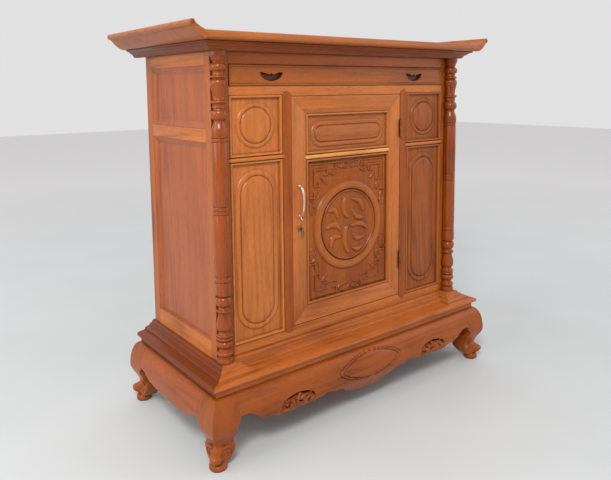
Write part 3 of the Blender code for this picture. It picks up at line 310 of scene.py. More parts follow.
# The spiral on a foot: its eye along the face and above the floor, its turns
# and first radius, and half the width of its cord
VOLUTE_EYE = (-0.027, 0.043)
VOLUTE_TURNS = 1.6
VOLUTE_RADIUS = 0.019
VOLUTE_CORD = 0.0041


def volute(corner, sx, sy, along_x):
    """Raised spiral on one outer face of a foot: a half-round cord whose
    centre line winds inwards to a small eye."""
    t = np.linspace(0.0, 1.0, 110)
    turn = 2 * math.pi * VOLUTE_TURNS * t + 0.9
    radius = VOLUTE_RADIUS * (1 - t) ** 0.85 + 0.002
    w = VOLUTE_EYE[0] + radius * np.cos(turn)
    z = VOLUTE_EYE[1] + 0.92 * radius * np.sin(turn)
    cord = VOLUTE_CORD * (1.0 - 0.25 * t)
    cord[0] *= 0.4
    a = circle(8)
    away = np.stack((np.cos(turn), np.sin(turn)), axis=-1)
    side = w[:, None] + away[:, :1] * cord[:, None] * np.cos(a)
    up = z[:, None] + away[:, 1:] * cord[:, None] * np.cos(a)
    out = np.broadcast_to(FOOT_FACE_OUT - 0.0002 + cord[:, None] * 0.75 * np.sin(a), side.shape)
    if along_x:
        return np.stack((corner[0] + sx * side, corner[1] + sy * out, up), axis=-1)
    return np.stack((corner[0] + sx * out, corner[1] + sy * side, up), axis=-1)


# How far each corner of a leg's section is eased, from the toe round
LEG_ARRIS = (0.005, 0.0036, 0.009, 0.006, 0.0004, 0.004, 0.0004, 0.006, 0.009, 0.0036)
PAD_CORNER = 0.012
PAD_ANGLES = (45, 24, -8, -40, -78, -135, -192, -230, -262, -294)
leg_wood = varnished("leg hardwood", "z", STAND_BROWN, STAND_DARK, 1.0, figure=7.0)
leg_heights, leg_plan = eased_rows([mark[0] for mark in LEG_MARKS],
                                   np.array([leg_loop(*mark) for mark in LEG_MARKS]), 4)
pads = np.array([[(r * math.cos(a) - PAD_CENTRE, r * math.sin(a) - PAD_CENTRE)
                  for a in np.radians(PAD_ANGLES)] for _, r in PAD_MARKS])
pads = rounded_loops(pads, np.full(len(PAD_ANGLES), PAD_CORNER))
leg_plan = np.concatenate((rounded_loops(leg_plan, LEG_ARRIS), pads))
leg_heights = np.concatenate((leg_heights, [z for z, _ in PAD_MARKS]))
for leg_name, sx, sy in (("front_left", -1, -1), ("front_right", 1, -1),
                         ("back_left", -1, 1), ("back_right", 1, 1)):
    corner = (sx * STAND_X, STAND_FRONT if sy < 0 else STAND_BACK)
    rows = np.empty(leg_plan.shape[:2] + (3,))
    rows[..., :2] = corner + leg_plan * (sx, sy)
    rows[..., 2] = leg_heights[:, None]
    finish_piece("cabriole_leg_" + leg_name, rows, leg_wood, "cabinet", ("leg_" + leg_name,))
    for face_name, along_x in (("end", True), ("side", False)):
        finish_piece("foot_volute_%s_%s" % (leg_name, face_name),
                     volute(corner, sx, sy, along_x), leg_wood, "cabinet")

# Stand aprons: sawn boards between the legs whose faces swell with the legs.
# The front one has a scalloped lower edge, a carved cushion lozenge in the
# middle and pierced leaf carving near each end.
APRON_THICKNESS = 0.024
APRON_BACK_OUT = 0.01
# Lower edges as (distance from the middle, height)
FRONT_EDGE = (
    (0.0, 0.066), (0.055, 0.067), (0.09, 0.08), (0.138, 0.106), (0.156, 0.104),
    (0.18, 0.112), (0.198, 0.1165), (0.213, 0.108), (0.225, 0.104), (0.235, 0.106),
    (0.245, 0.0995), (0.26, 0.099), (0.269, 0.106), (0.278, 0.1), (0.292, 0.101),
    (0.306, 0.109), (0.317, 0.104), (0.333, 0.0995), (0.344, 0.104), (0.356, 0.0975),
    (0.372, 0.097), (0.385, 0.1), (0.403, 0.111), (0.415, 0.113), (0.43, 0.113),
    (0.452, 0.123), (0.472, 0.137), (0.492, 0.147), (0.513, 0.149), (0.53, 0.142),
)
SIDE_EDGE = ((0.0, 0.101), (0.048, 0.104), (0.066, 0.112), (0.088, 0.1125),
             (0.118, 0.119), (0.13, 0.118), (0.152, 0.129), (0.176, 0.14),
             (0.202, 0.142))
LOZENGE_Z = 0.155
LOZENGE_HALF_WIDTH = 0.137
LOZENGE_HALF_HEIGHT = 0.0442
LOZENGE_POWER = 1.25
ARCH_CENTRE = 0.313
ARCH_HALF = 0.066
ARCH_FOOT = 0.118
ARCH_RISE = 0.036
LEAF_BED = 0.007


def lower_edge(marks, at):
    """Height of the shaped edge: a half cosine from each mark to the next."""
    at = np.abs(at)
    a = np.array([m[0] for m in marks])
    z = np.array([m[1] for m in marks])
    k = np.clip(np.searchsorted(a, at, side="right") - 1, 0, len(a) - 2)
    t = np.clip((at - a[k]) / (a[k + 1] - a[k]), 0.0, 1.0)
    return z[k] + (z[k + 1] - z[k]) * (1 - np.cos(math.pi * t)) / 2


def nearest(u, v, path, width):
    """Distance from each point to a path of dots, and the path's half width
    at the nearest dot."""
    best = np.full(np.shape(u), 1e9)
    wide = np.zeros(np.shape(u))
    for (px, pz), w in zip(path, width):
        d = np.hypot(u - px, v - pz)
        wide = np.where(d < best, w, wide)
        best = np.minimum(best, d)
    return best, wide


def curved(start, bend, end, count=22):
    """Points of a stroke bent once between its two ends."""
    t = np.linspace(0.0, 1.0, count)[:, None]
    start, bend, end = np.array((start, bend, end))
    return (1 - t) ** 2 * start + 2 * t * (1 - t) * bend + t * t * end


def stroke_height(u, v, start, bend, end, thick, high, blunt=0.15):
    """Relief of a tapering rounded stroke: an arched section whose width
    swells in the middle of the stroke."""
    path = curved(start, bend, end)
    t = np.linspace(0.0, 1.0, len(path))
    width = thick * (blunt + (1 - blunt) * np.sin(math.pi * (0.12 + 0.76 * t)) ** 0.8)
    d, wide = nearest(u, v, path, width)
    return high * np.sqrt(np.clip(1.0 - (d / wide) ** 2, 0.0, 1.0))


# Carved leaves under the arch, as strokes from a foot on the lower edge:
# start, bend, end, half width and height
LEAVES = (
    ((0.0, -0.016), (-0.026, -0.012), (-0.044, -0.004), 0.0075, 0.006),
    ((-0.004, -0.012), (-0.022, 0.004), (-0.046, 0.01), 0.0062, 0.0055),
    ((-0.002, -0.008), (-0.01, 0.016), (-0.03, 0.022), 0.0058, 0.0055),
    ((0.002, -0.01), (0.004, 0.018), (-0.006, 0.03), 0.006, 0.006),
    ((0.006, -0.01), (0.024, 0.01), (0.022, 0.024), 0.0058, 0.0055),
    ((0.006, -0.014), (0.026, -0.002), (0.044, 0.008), 0.0062, 0.0055),
    ((0.004, -0.017), (0.028, -0.016), (0.05, -0.01), 0.007, 0.006),
    ((-0.046, -0.015), (-0.056, -0.01), (-0.06, 0.0), 0.005, 0.004),
    ((0.052, -0.016), (0.06, -0.01), (0.061, 0.002), 0.005, 0.004),
)
# Holes between the leaves: place, two half sizes and lean
HOLES = ((0.352, 0.1215, 0.0048, 0.0085, 0.5), (0.306, 0.125, 0.011, 0.0036, 0.4),
         (0.273, 0.119, 0.0042, 0.008, 0.3))


def arch_gap(x, z):
    """Below zero in the pierced openings, above zero in the wood: a band
    under the arch, broken by three struts, and small ovals between leaves."""
    ax = np.abs(x)
    angle = np.arccos(np.clip((ax - ARCH_CENTRE) / ARCH_HALF, -1.0, 1.0))
    crown = ARCH_FOOT + ARCH_RISE * np.sin(angle) ** 0.7
    share = angle / math.pi
    wide = 0.005 + 0.007 * np.sin(math.pi * share) ** 0.6
    band = np.abs(crown - z - wide / 2) - wide / 2
    struts = np.full(np.shape(x), 1.0)
    for at in (0.26, 0.52, 0.77):
        struts = np.minimum(struts, np.abs(share - at))
    band = np.maximum(band, (0.02 - struts) * 0.16)
    level = np.where(np.abs(ax - ARCH_CENTRE) < ARCH_HALF, band, 1.0)
    for hx, hz, half_x, half_z, lean in HOLES:
        u = (ax - hx) * math.cos(lean) + (z - hz) * math.sin(lean)
        v = -(ax - hx) * math.sin(lean) + (z - hz) * math.cos(lean)
        level = np.minimum(level, (np.hypot(u / half_x, v / half_z) - 1.0) * min(half_x, half_z))
    return level


def front_carving(x, z):
    """Height of the carving over the swell of the front apron: the lozenge's
    two lips and cushion by how far inside its outline a point lies, a bead
    along the lower edge, and the highest leaf at each place in its bed."""
    q = ((np.abs(x) / LOZENGE_HALF_WIDTH) ** (2 / LOZENGE_POWER)
         + (np.abs(z - LOZENGE_Z) / LOZENGE_HALF_HEIGHT) ** (2 / LOZENGE_POWER))
    reach = 1.0 - q ** (LOZENGE_POWER / 2)
    marks = (-1.0, -0.055, -0.04, -0.015, 0.0, 0.022, 0.05,
             0.075, 0.098, 0.13, 0.18, 0.3, 0.48, 1.0)
    rises = (0.0, 0.0, -0.0026, -0.0022, 0.0014, 0.0034, 0.003,
             -0.001, -0.0008, 0.0028, 0.004, 0.005, 0.0056, 0.0058)
    carved = np.interp(reach, marks, rises)
    above = z - lower_edge(FRONT_EDGE, x)
    lip = np.interp(above, (0.0, 0.0012, 0.004, 0.006, 0.0068, 0.01, 0.012),
                    (-0.0012, 0.0, 0.0004, 0.0, -0.0008, -0.0003, 0.0))
    u, v = np.abs(x) - ARCH_CENTRE, z - ARCH_FOOT
    bed = np.interp(np.hypot(u / 0.0665, (z - 0.1165) / 0.038), (0.93, 1.0), (1.0, 0.0))
    leaves = -LEAF_BED * bed
    for start, bend, end, thick, high in LEAVES:
        height = stroke_height(u, v, start, bend, end, 1.4 * thick, 1.6 * high)
        vein = nearest(u, v, curved(start, bend, end), np.full(22, 0.001))[0]
        vein_cut = 0.0016 * np.exp(-(vein / 0.0012) ** 2) * (height > 0)
        leaves = np.maximum(leaves, height - LEAF_BED * bed - vein_cut)
    return np.where(bed > 0, leaves, carved + lip)


def apron_rows(marks, stations, world):
    """Loops round an apron at each station along it: down the swelling
    face in steps that grow, under the shaped edge and up the flat back."""
    low = lower_edge(marks, stations)
    t = np.linspace(0.0, 1.0, 26) ** 1.15
    z = STAND_TOP - (STAND_TOP - low)[:, None] * t
    inner_out = np.stack((np.full(len(low), APRON_BACK_OUT - APRON_THICKNESS),
                          np.full(len(low), -APRON_THICKNESS)), axis=1)
    inner_z = np.stack((low, np.full(len(low), STAND_TOP)), axis=1)
    out = np.concatenate((swell(z), inner_out), axis=1)
    height = np.concatenate((z, inner_z), axis=1)
    return np.stack(world(np.broadcast_to(stations[:, None], out.shape), out, height), axis=-1)


def pierced_board(name, stations, world):
    """The front apron as a closed board: the carved face and the plain back
    are grids whose cells inside the piercings are left out, each hole's rim
    is drawn onto its outline, and walls join the two faces round every edge."""
    low = lower_edge(FRONT_EDGE, stations)
    z = STAND_TOP - (STAND_TOP - low)[:, None] * np.linspace(0.0, 1.0, 58)
    x = np.broadcast_to(stations[:, None], z.shape).copy()
    step = 0.0004
    level = arch_gap(x, z)
    gx = (arch_gap(x + step, z) - arch_gap(x - step, z)) / (2 * step)
    gz = (arch_gap(x, z + step) - arch_gap(x, z - step)) / (2 * step)
    size = np.maximum(gx ** 2 + gz ** 2, 1e-6)
    near = np.abs(level) / np.sqrt(size) < 0.0008
    inner = np.zeros(z.shape, bool)
    inner[1:-1, 1:-1] = True
    move = near & inner & (np.abs(x) > 0.2)
    x = np.where(move, x - level * gx / size, x)
    z = np.where(move, z - level * gz / size, z)
    level = np.where(move, 0.0, level)
    index = np.arange(z.size).reshape(z.shape)
    cell = (level[:-1, :-1] + level[1:, :-1] + level[:-1, 1:] + level[1:, 1:]) / 4
    keep = cell > -1e-5
    corners = np.stack((index[:-1, :-1], index[1:, :-1], index[1:, 1:], index[:-1, 1:]), axis=-1)
    front = corners[keep]
    face_out = swell(z) + front_carving(x, z)
    deep = APRON_BACK_OUT - APRON_THICKNESS
    rear_out = np.interp(z, (0.06, 0.1, STAND_TOP), (deep, deep, -APRON_THICKNESS))
    shell = z.size
    rear = front[:, ::-1] + shell
    edges = np.concatenate([front[:, [k, (k + 1) % 4]] for k in range(4)])
    code = edges[:, 0] * (2 * shell) + edges[:, 1]
    back_code = edges[:, 1] * (2 * shell) + edges[:, 0]
    rim = edges[~np.isin(code, back_code)]
    walls = np.stack((rim[:, 1], rim[:, 0], rim[:, 0] + shell, rim[:, 1] + shell), axis=-1)
    faces = np.concatenate((front, rear, walls))
    points = np.concatenate((np.stack(world(x, face_out, z), axis=-1).reshape(-1, 3),
                             np.stack(world(x, rear_out, z), axis=-1).reshape(-1, 3)))
    used, faces = np.unique(faces, return_inverse=True)
    faces = faces.reshape(-1, 4)
    points = points[used]
    if volume_of(points, faces) < 0:
        faces = faces[:, ::-1]
    return new_mesh(name, points, faces.tolist())


apron_end = STAND_X - LEG_WIDTH - FIT
apron_wood = varnished("apron hardwood", "x", STAND_BROWN, STAND_DARK, 2.0, figure=8.0,
                       shade_and_grime=0.7, bleach=0.85)
side_wood = varnished("side apron hardwood", "y", (0.29, 0.062, 0.01), STAND_DARK, 3.0,
                      figure=8.0)
half_run = np.unique(np.round(np.concatenate((
    np.linspace(0.0, 0.236, 92), np.linspace(0.236, 0.389, 118),
    np.linspace(0.389, apron_end, 40))), 6))
run = np.concatenate((-half_run[::-1], half_run[1:]))
finish_piece("carved_front_apron",
             pierced_board("carved front apron", run,
                           lambda along, out, z: (along, STAND_FRONT - out, z)),
             apron_wood, "cabinet", ("apron_front",), sharp=60.0)
side_middle = (STAND_FRONT + STAND_BACK) / 2
side_end = (STAND_BACK - STAND_FRONT) / 2 - LEG_WIDTH - FIT
side_run = np.linspace(-side_end, side_end, 121)
for side_name, side in (("left", -1), ("right", 1)):
    rows = apron_rows(SIDE_EDGE, side_run, lambda along, out, z: (
        side * (STAND_X + out), side_middle + along, z))
    finish_piece("side_apron_" + side_name, rows, side_wood, "cabinet",
                 ("apron_" + side_name,))

# Plain carcass work: posts, rails, plinth, cornice and boards are planed and
# moulded hardwood, glued and mitred, so they keep the frame's own shapes and
# only get their arrises eased and their finish.
front_grain = varnished("front rail hardwood", "x", GOLDEN, GOLDEN_DARK, 4.0)
upright = varnished("post hardwood", "z", (0.34, 0.09, 0.017), STAND_DARK, 5.0, shade_and_grime=0.5)
mullion_wood = varnished("mullion hardwood", "z", (0.29, 0.06, 0.004), STAND_DARK, 5.5)
plinth_wood = varnished("plinth hardwood", "x", (0.4, 0.105, 0.019), STAND_DARK, 5.8)
cornice_wood = varnished("cornice hardwood", "x", (0.23, 0.053, 0.011), STAND_DARK, 5.9)
side_rail = varnished("side rail hardwood", "y", GOLDEN, RED_BROWN_DARK, 6.0)
side_panel = varnished("side panel hardwood", "z", RED_BROWN, RED_BROWN_DARK, 7.0,
                       figure=12.0)
# Painted shade: the side returns of plinth and cornice get a much darker copy of the moulding
# wood, for the shade on the sides
side_mould_painted_shade = varnished("side moulding painted shade", "y", (0.165, 0.028, 0.001), STAND_DARK, 8.0)
bare = ((0.42, 0.24, 0.12), (0.27, 0.14, 0.06))
plain = varnished("plain inside wood", "x", *bare, 9.0, rough=0.6, coat=0.0)
plain_long = varnished("plain drawer wood", "y", *bare, 10.0, rough=0.6, coat=0.0)
frieze = varnished("frieze hardwood", "x", (0.37, 0.082, 0.009), STAND_DARK, 11.0)


def eased(node, material, width=0.0009):
    """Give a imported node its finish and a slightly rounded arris."""
    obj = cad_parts[node]
    obj.data.materials.clear()
    obj.data.materials.append(material)
    weld = obj.modifiers.new("joined", "WELD")
    weld.merge_threshold = 0.00002
    soft = obj.modifiers.new("arris", "BEVEL")
    soft.width = width
    soft.segments = 2
    soft.limit_method = "ANGLE"
    soft.angle_limit = math.radians(35)
    soft.use_clamp_overlap = True
    return obj


FINISHES = (
    (front_grain, ("front_drawer_rail", "front_bottom_rail")),
    (plinth_wood, ("plinth_front", "plinth_back", "apron_back")),
    (cornice_wood, ("cornice_front",)),
    (frieze, ("front_top_rail",)),
    (upright, ("front_post_left", "front_post_right", "back_post_left", "back_post_right")),
    (mullion_wood, ("mullion_left", "mullion_right")),
    (side_rail, ("side_top_rail_left", "side_top_rail_right", "side_middle_rail_left",
                 "side_middle_rail_right", "side_bottom_rail_left", "side_bottom_rail_right")),
    (side_panel, ("side_upper_panel_left", "side_upper_panel_right", "side_lower_panel_left",
                  "side_lower_panel_right")),
    # Plinth and cornice returns on the sides, painted darker as shade
    (side_mould_painted_shade, ("plinth_left", "plinth_right", "cornice_left", "cornice_right")),
    (plain, ("back_board", "cupboard_floor", "dust_board", "drawer_back", "drawer_bottom")),
    (plain_long, ("drawer_side_left", "drawer_side_right")),
    (front_grain, ("bay_rail_left", "bay_rail_right")),
)
for wood, nodes in FINISHES:
    for node in nodes:
        eased(node, wood)

# Corner columns: each is turned in the lathe from one length of hardwood,
# planed flat behind, and glued to its post. Beads, coves, vase and ring
# turnings break a long plain shaft with grooves cut round it.
FRONT = -0.1895
COLUMN_X = 0.5129
COLUMN_FORWARD = 0.0128
# Heights and radii from the foot up; "bead" gives its two levels, its neck
# and its crest, and "groove" gives its level
TURNING = (
    (0.2778, 0.0245), (0.289, 0.0245), (0.2905, 0.0236), (0.2915, 0.0205), (0.295, 0.019),
    ("bead", 0.296, 0.311, 0.0188, 0.024), (0.313, 0.0178), (0.3185, 0.0165), (0.3215, 0.0172),
    ("bead", 0.323, 0.343, 0.0182, 0.0245), (0.3445, 0.0182),
    ("bead", 0.3455, 0.3535, 0.02, 0.0236), ("bead", 0.356, 0.364, 0.02, 0.0236),
    (0.366, 0.0178), (0.3705, 0.0165), (0.374, 0.017), (0.3765, 0.0205), (0.38, 0.0226),
    (0.386, 0.0235), (0.394, 0.0236), (0.402, 0.0226), (0.412, 0.0202),
    (0.421, 0.018), (0.428, 0.0166),
    (0.431, 0.0166), ("bead", 0.4318, 0.4402, 0.0195, 0.024), (0.4412, 0.018), (0.4445, 0.0166),
    (0.448, 0.0172), ("bead", 0.45, 0.478, 0.0182, 0.0245), (0.4795, 0.0168), (0.4818, 0.0166),
    (0.4835, 0.019), (0.4845, 0.0236), (0.4865, 0.024), (0.518, 0.0236),
    (0.5205, 0.0232), ("groove", 0.5225),
    (0.5245, 0.0234), (0.5375, 0.0234), ("groove", 0.5395), (0.5415, 0.0232), (0.62, 0.0236),
    (0.722, 0.0232), ("groove", 0.724), (0.726, 0.0232), (0.7335, 0.0232), ("groove", 0.7355),
    (0.7375, 0.0232), (0.7455, 0.0232), ("groove", 0.7475), (0.7495, 0.0232), (0.84, 0.0236),
    (0.934, 0.0232), ("groove", 0.936), (0.938, 0.0232), (0.9448, 0.0233),
    ("groove", 0.9468), (0.9488, 0.0236), (0.956, 0.024), (0.968, 0.024),
    (0.974, 0.0232), (0.98, 0.021), (0.9865, 0.0184), (0.993, 0.0164),
    (0.9975, 0.0166), ("bead", 0.999, 1.027, 0.0178, 0.025), (1.029, 0.0166), (1.032, 0.0166),
    (1.033, 0.0192), (1.0365, 0.0186), (1.042, 0.018), (1.044, 0.0186),
    ("bead", 1.045, 1.0545, 0.02, 0.0241), (1.056, 0.018), (1.058, 0.017), (1.068, 0.0178),
    (1.078, 0.0192), (1.088, 0.022), (1.096, 0.0238), (1.104, 0.0242),
    (1.1095, 0.0232), (1.113, 0.0204),
    (1.1145, 0.0178), (1.1165, 0.0176), ("bead", 1.1172, 1.1248, 0.0195, 0.0237),
    (1.1262, 0.0178),
    (1.131, 0.0165), (1.135, 0.0172), ("bead", 1.137, 1.159, 0.0182, 0.0246), (1.1605, 0.0166),
    (1.165, 0.0164), (1.1665, 0.018), (1.1705, 0.0186), (1.174, 0.0198), (1.178, 0.0222),
    (1.18, 0.023), (1.1812, 0.0247), (1.1938, 0.0247),
)


def turning_profile():
    """Heights and radii up the turning: a bead is a half circle between its
    two levels, a groove is a narrow rounded cut, the rest runs straight."""
    levels, radii = [], []
    for mark in TURNING:
        if mark[0] == "bead":
            a = np.linspace(0.0, math.pi, 11)
            low, high, neck, crest = mark[1:]
            levels += list(low + (high - low) * (1 - np.cos(a)) / 2)
            radii += list(neck + (crest - neck) * np.sin(a))
        elif mark[0] == "groove":
            levels += [mark[1] - 0.0011, mark[1] - 0.0005, mark[1] + 0.0005, mark[1] + 0.0011]
            radii += [0.0228, 0.0213, 0.0213, 0.0228]
        else:
            levels.append(mark[0])
            radii.append(mark[1])
    return np.array(levels), np.array(radii)


column_wood = varnished("column hardwood", "z", (0.245, 0.044, 0.0005),
                        (0.08, 0.014, 0.001), 12.0, figure=10.0, rough=0.28, coat=0.3, shade_and_grime=0.4)
levels, radii = turning_profile()
for side_name, side in (("left", -1), ("right", 1)):
    flat = COLUMN_FORWARD - FIT
    limit = math.pi - np.arccos(flat / radii)
    angle = limit[:, None] * np.linspace(-1.0, 1.0, 44)
    rows = np.stack((side * COLUMN_X + radii[:, None] * np.sin(angle),
                     FRONT - COLUMN_FORWARD - radii[:, None] * np.cos(angle),
                     np.broadcast_to(levels[:, None], angle.shape)), axis=-1)
    finish_piece("turned_column_" + side_name, rows, column_wood, "cabinet",
                 ("column_" + side_name,))

# Bay panels beside the door: a thin panel in a mitred bead, with a raised
# roundel above and a tall round-ended tablet below. The rim is worked with a
# cove, a fine groove and a low cushion.
MULLION_OUTER = 0.2815
POST_INNER = 0.473
FIELD_DEPTH = 0.007
PANEL_THICKNESS = 0.01
BEAD_REACH = 0.0088
# Depths in front of the panel face between which the painted crest highlight fades in
CREST_BACK = 0.0008
CREST_FORE = -0.0022


def carved_board(name, x0, x1, z0, z1, back, depth, step=0.0016):
    """A board with one worked face: a grid whose depth is a function of
    across and up, straight walls round it and a flat back."""
    nx = int(round((x1 - x0) / step)) + 1
    nz = int(round((z1 - z0) / step)) + 1
    x, z = np.meshgrid(np.linspace(x0, x1, nx), np.linspace(z0, z1, nz), indexing="ij")
    y = depth(x, z)
    index = np.arange(nx * nz).reshape(nx, nz)
    front = np.stack((index[:-1, :-1], index[1:, :-1], index[1:, 1:], index[:-1, 1:]),
                     axis=-1).reshape(-1, 4)
    rim = np.concatenate((index[:-1, 0], index[-1, :-1], index[:0:-1, -1], index[0, :0:-1]))
    points = np.stack((x, y, z), axis=-1).reshape(-1, 3)
    rear = points[rim].copy()
    rear[:, 1] = back
    foot = len(points) + np.arange(len(rim))
    walls = np.stack((rim, foot, np.roll(foot, -1), np.roll(rim, -1)), axis=-1)
    return new_mesh(name, np.concatenate((points, rear)),
                    front.tolist() + walls.tolist() + [foot[::-1].tolist()])


def bead_depth(x, z, x0, x1, z0, z1):
    """Half-round bead inside the panel's edge, then a drop to the field;
    also gives the distance to the edge."""
    e = np.minimum(np.minimum(x - x0, x1 - x), np.minimum(z - z0, z1 - z))
    q = np.clip(e / (BEAD_REACH / 2) - 1.0, -1.0, 1.0)
    bead = FRONT + 0.0018 - 0.0043 * np.sqrt(1.0 - q ** 2)
    return np.where(e < BEAD_REACH, bead, FRONT + FIELD_DEPTH), e


def oval_reach(x, z, cx, cz, half_w, half_h):
    """How far inside the edge of a round-ended oval a point lies."""
    r = min(half_w, half_h)
    dx = np.maximum(np.abs(x - cx) - (half_w - r), 0.0)
    dz = np.maximum(np.abs(z - cz) - (half_h - r), 0.0)
    return r - np.hypot(dx, dz)


def boss_height(reach, rim):
    """Relief from just outside the oval's edge inwards: a cut line, a
    quarter round, a slight hollow, a groove, then a cushion rising to its
    middle. The rim is the distance from the edge to the groove."""
    marks = (-0.0042, -0.0028, -0.0008, 0.0, 0.0008, 0.0022, 0.0045, 0.007,
             rim - 0.005, rim - 0.0024, rim - 0.0008, rim + 0.0008, rim + 0.0022,
             rim + 0.005, rim + 0.012, rim + 0.024, rim + 0.04)
    rises = (0.0, -0.0006, -0.0008, 0.0002, 0.0018, 0.0032, 0.004, 0.004, 0.0034, 0.0028,
             0.0006, 0.0006, 0.0036, 0.005, 0.006, 0.0067, 0.0069)
    return np.interp(reach, marks, rises)


def boss_panel(name, node, x0, x1, z0, z1, cx, cz, half_w, half_h, rim, wood, body):
    """A beaded panel with one raised oval."""
    def depth(x, z):
        y, e = bead_depth(x, z, x0, x1, z0, z1)
        boss = boss_height(oval_reach(x, z, cx, cz, half_w, half_h), rim)
        return y - np.where(e > BEAD_REACH, boss, 0.0)
    mesh = carved_board(name, x0, x1, z0, z1, FRONT + FIELD_DEPTH + PANEL_THICKNESS, depth)
    return finish_piece(name, mesh, wood, body, (node,), sharp=50.0)


for side_name, side, seed in (("left", -1, 13.0), ("right", 1, 14.0)):
    low, high = sorted((side * (MULLION_OUTER + FIT), side * (POST_INNER - FIT)))
    middle = (low + high) / 2
    light, dark = ((GOLDEN, GOLDEN_DARK) if side < 0
                   else ((0.28, 0.066, 0.007), STAND_DARK))
    # Painted highlight colour laid on the forward-standing bead and cushion crests, lighter on
    # the left panel
    crest_highlight = ((0.53, 0.175, 0.038) if side < 0 else (0.36, 0.1, 0.016),
              FRONT + CREST_BACK, FRONT + CREST_FORE)
    upper_wood = varnished("roundel panel " + side_name, "z", light, dark, seed,
                           figure=14.0, crest=crest_highlight)
    lower_wood = varnished("tablet panel " + side_name, "z", light, dark, seed + 4.0,
                           figure=16.0, crest=crest_highlight)
    boss_panel("roundel_panel_" + side_name, "bay_upper_panel_" + side_name,
               low, high, 0.8823, 1.0677, middle, 0.976, 0.069, 0.069, 0.014,
               upper_wood, "cabinet")
    boss_panel("tablet_panel_" + side_name, "bay_lower_panel_" + side_name,
               low, high, 0.3068, 0.8687, middle, 0.5895, 0.0765, 0.251, 0.0175,
               lower_wood, "cabinet")

# Door frame: two stiles and two rails mitred at the corners, with a rounded
# crossbar let in between the panels, all glued up as one swinging frame.
DOOR_HALF = 0.2453
DOOR_BOTTOM = 0.3155
DOOR_TOP = 1.0612
DOOR_DEPTH = 0.022
PANEL_HALF = 0.1882
LOWER_BOTTOM = 0.3728
LOWER_TOP = 0.857
UPPER_BOTTOM = 0.8725
UPPER_TOP = 1.006
MITRE_GAP = 0.00012
BAR_RISE = 0.005
BAR_SEAT = 0.002
BAR_TENON = 0.008
opening = PANEL_HALF + FIT


def member(corners, arris=0.0008):
    """A flat length of frame: its outline pushed from the front to the back,
    with the arris rounded off in four small steps."""
    outline = np.array(corners)
    centre = outline.mean(0)
    loops = []
    for inset, y in ((0.0, DOOR_DEPTH), (0.0, arris), (0.3 * arris, 0.32 * arris), (arris, 0.0)):
        shift = np.sign(centre - outline) * inset
        flat = outline + shift
        loops.append(np.column_stack((flat[:, 0], np.full(len(flat), FRONT + y), flat[:, 1])))
    return np.array(loops)


stile_wood = varnished("door stile hardwood", "z", GOLDEN, GOLDEN_DARK, 21.0, figure=10.0)
rail_wood = varnished("door rail hardwood", "x", GOLDEN, GOLDEN_DARK, 22.0, figure=10.0)
for name, side in (("door_stile_left", -1), ("door_stile_right", 1)):
    corners = ((side * DOOR_HALF, DOOR_BOTTOM + MITRE_GAP),
               (side * opening, LOWER_BOTTOM + MITRE_GAP),
               (side * opening, UPPER_TOP - MITRE_GAP),
               (side * DOOR_HALF, DOOR_TOP - MITRE_GAP))
    finish_piece(name, member(corners), stile_wood, "door", ("door_frame",))
for name, outer, inner in (("door_rail_bottom", DOOR_BOTTOM, LOWER_BOTTOM),
                           ("door_rail_top", DOOR_TOP, UPPER_TOP)):
    corners = ((-DOOR_HALF + MITRE_GAP, outer), (DOOR_HALF - MITRE_GAP, outer),
               (opening - MITRE_GAP, inner), (-opening + MITRE_GAP, inner))
    finish_piece(name, member(corners), rail_wood, "door", ("door_frame",))

# Crossbar: a half round whose two ends taper where they run onto the stiles
bar_wood = varnished("crossbar hardwood", "x", (0.7, 0.29, 0.075), (0.4, 0.12, 0.022), 23.0)
along = np.linspace(-1.0, 1.0, 41) * (opening + BAR_TENON)
taper = np.clip((opening + BAR_TENON - np.abs(along)) / BAR_TENON, 0.04, 1.0)[:, None]
arc = np.linspace(0.0, math.pi, 15)
middle = (LOWER_TOP + UPPER_BOTTOM) / 2
rise = (UPPER_BOTTOM - LOWER_TOP) / 2 - FIT
across = np.concatenate((-np.cos(arc), [1.0, -1.0]))
depth = np.concatenate((-BAR_RISE * np.sin(arc), [DOOR_DEPTH - BAR_SEAT] * 2))
rows = np.empty((len(along), len(across), 3))
rows[..., 0] = along[:, None]
rows[..., 1] = FRONT + BAR_SEAT + depth * np.where(depth < 0.001, taper, 1.0)
rows[..., 2] = middle + rise * across * taper
finish_piece("door_crossbar", rows, bar_wood, "door", ("door_frame",))

# Door panels: the small one has a long raised cushion; the tall one is carved
# with a heavy ring, loose brush strokes inside it, and in every corner a key
# fret that runs out into leafy scrolls along the edges.
RING_HEIGHT = 0.617
RING_OUTER = 0.1555
RING_INNER = 0.124
RING_BED = 0.115
BED_RISE = 0.0008
# Brush strokes about the ring's middle: start, bend, end and half width
STROKES = (
    ((-0.088, 0.056), (-0.062, 0.072), (-0.052, 0.032), 0.006),
    ((-0.098, 0.0), (-0.064, 0.02), (-0.042, -0.012), 0.0065),
    ((-0.082, -0.064), (-0.08, -0.026), (-0.042, -0.038), 0.006),
    ((-0.016, 0.092), (-0.036, 0.048), (-0.006, 0.028), 0.006),
    ((-0.01, -0.008), (-0.032, -0.056), (-0.004, -0.096), 0.0065),
    ((0.022, 0.086), (0.062, 0.08), (0.064, 0.046), 0.006),
    ((0.018, 0.048), (0.028, 0.016), (0.064, 0.018), 0.0055),
    ((0.014, -0.006), (0.054, 0.006), (0.082, -0.022), 0.006),
    ((0.022, -0.038), (0.03, -0.062), (0.064, -0.052), 0.0055),
    ((0.018, -0.086), (0.04, -0.102), (0.06, -0.084), 0.005),
)
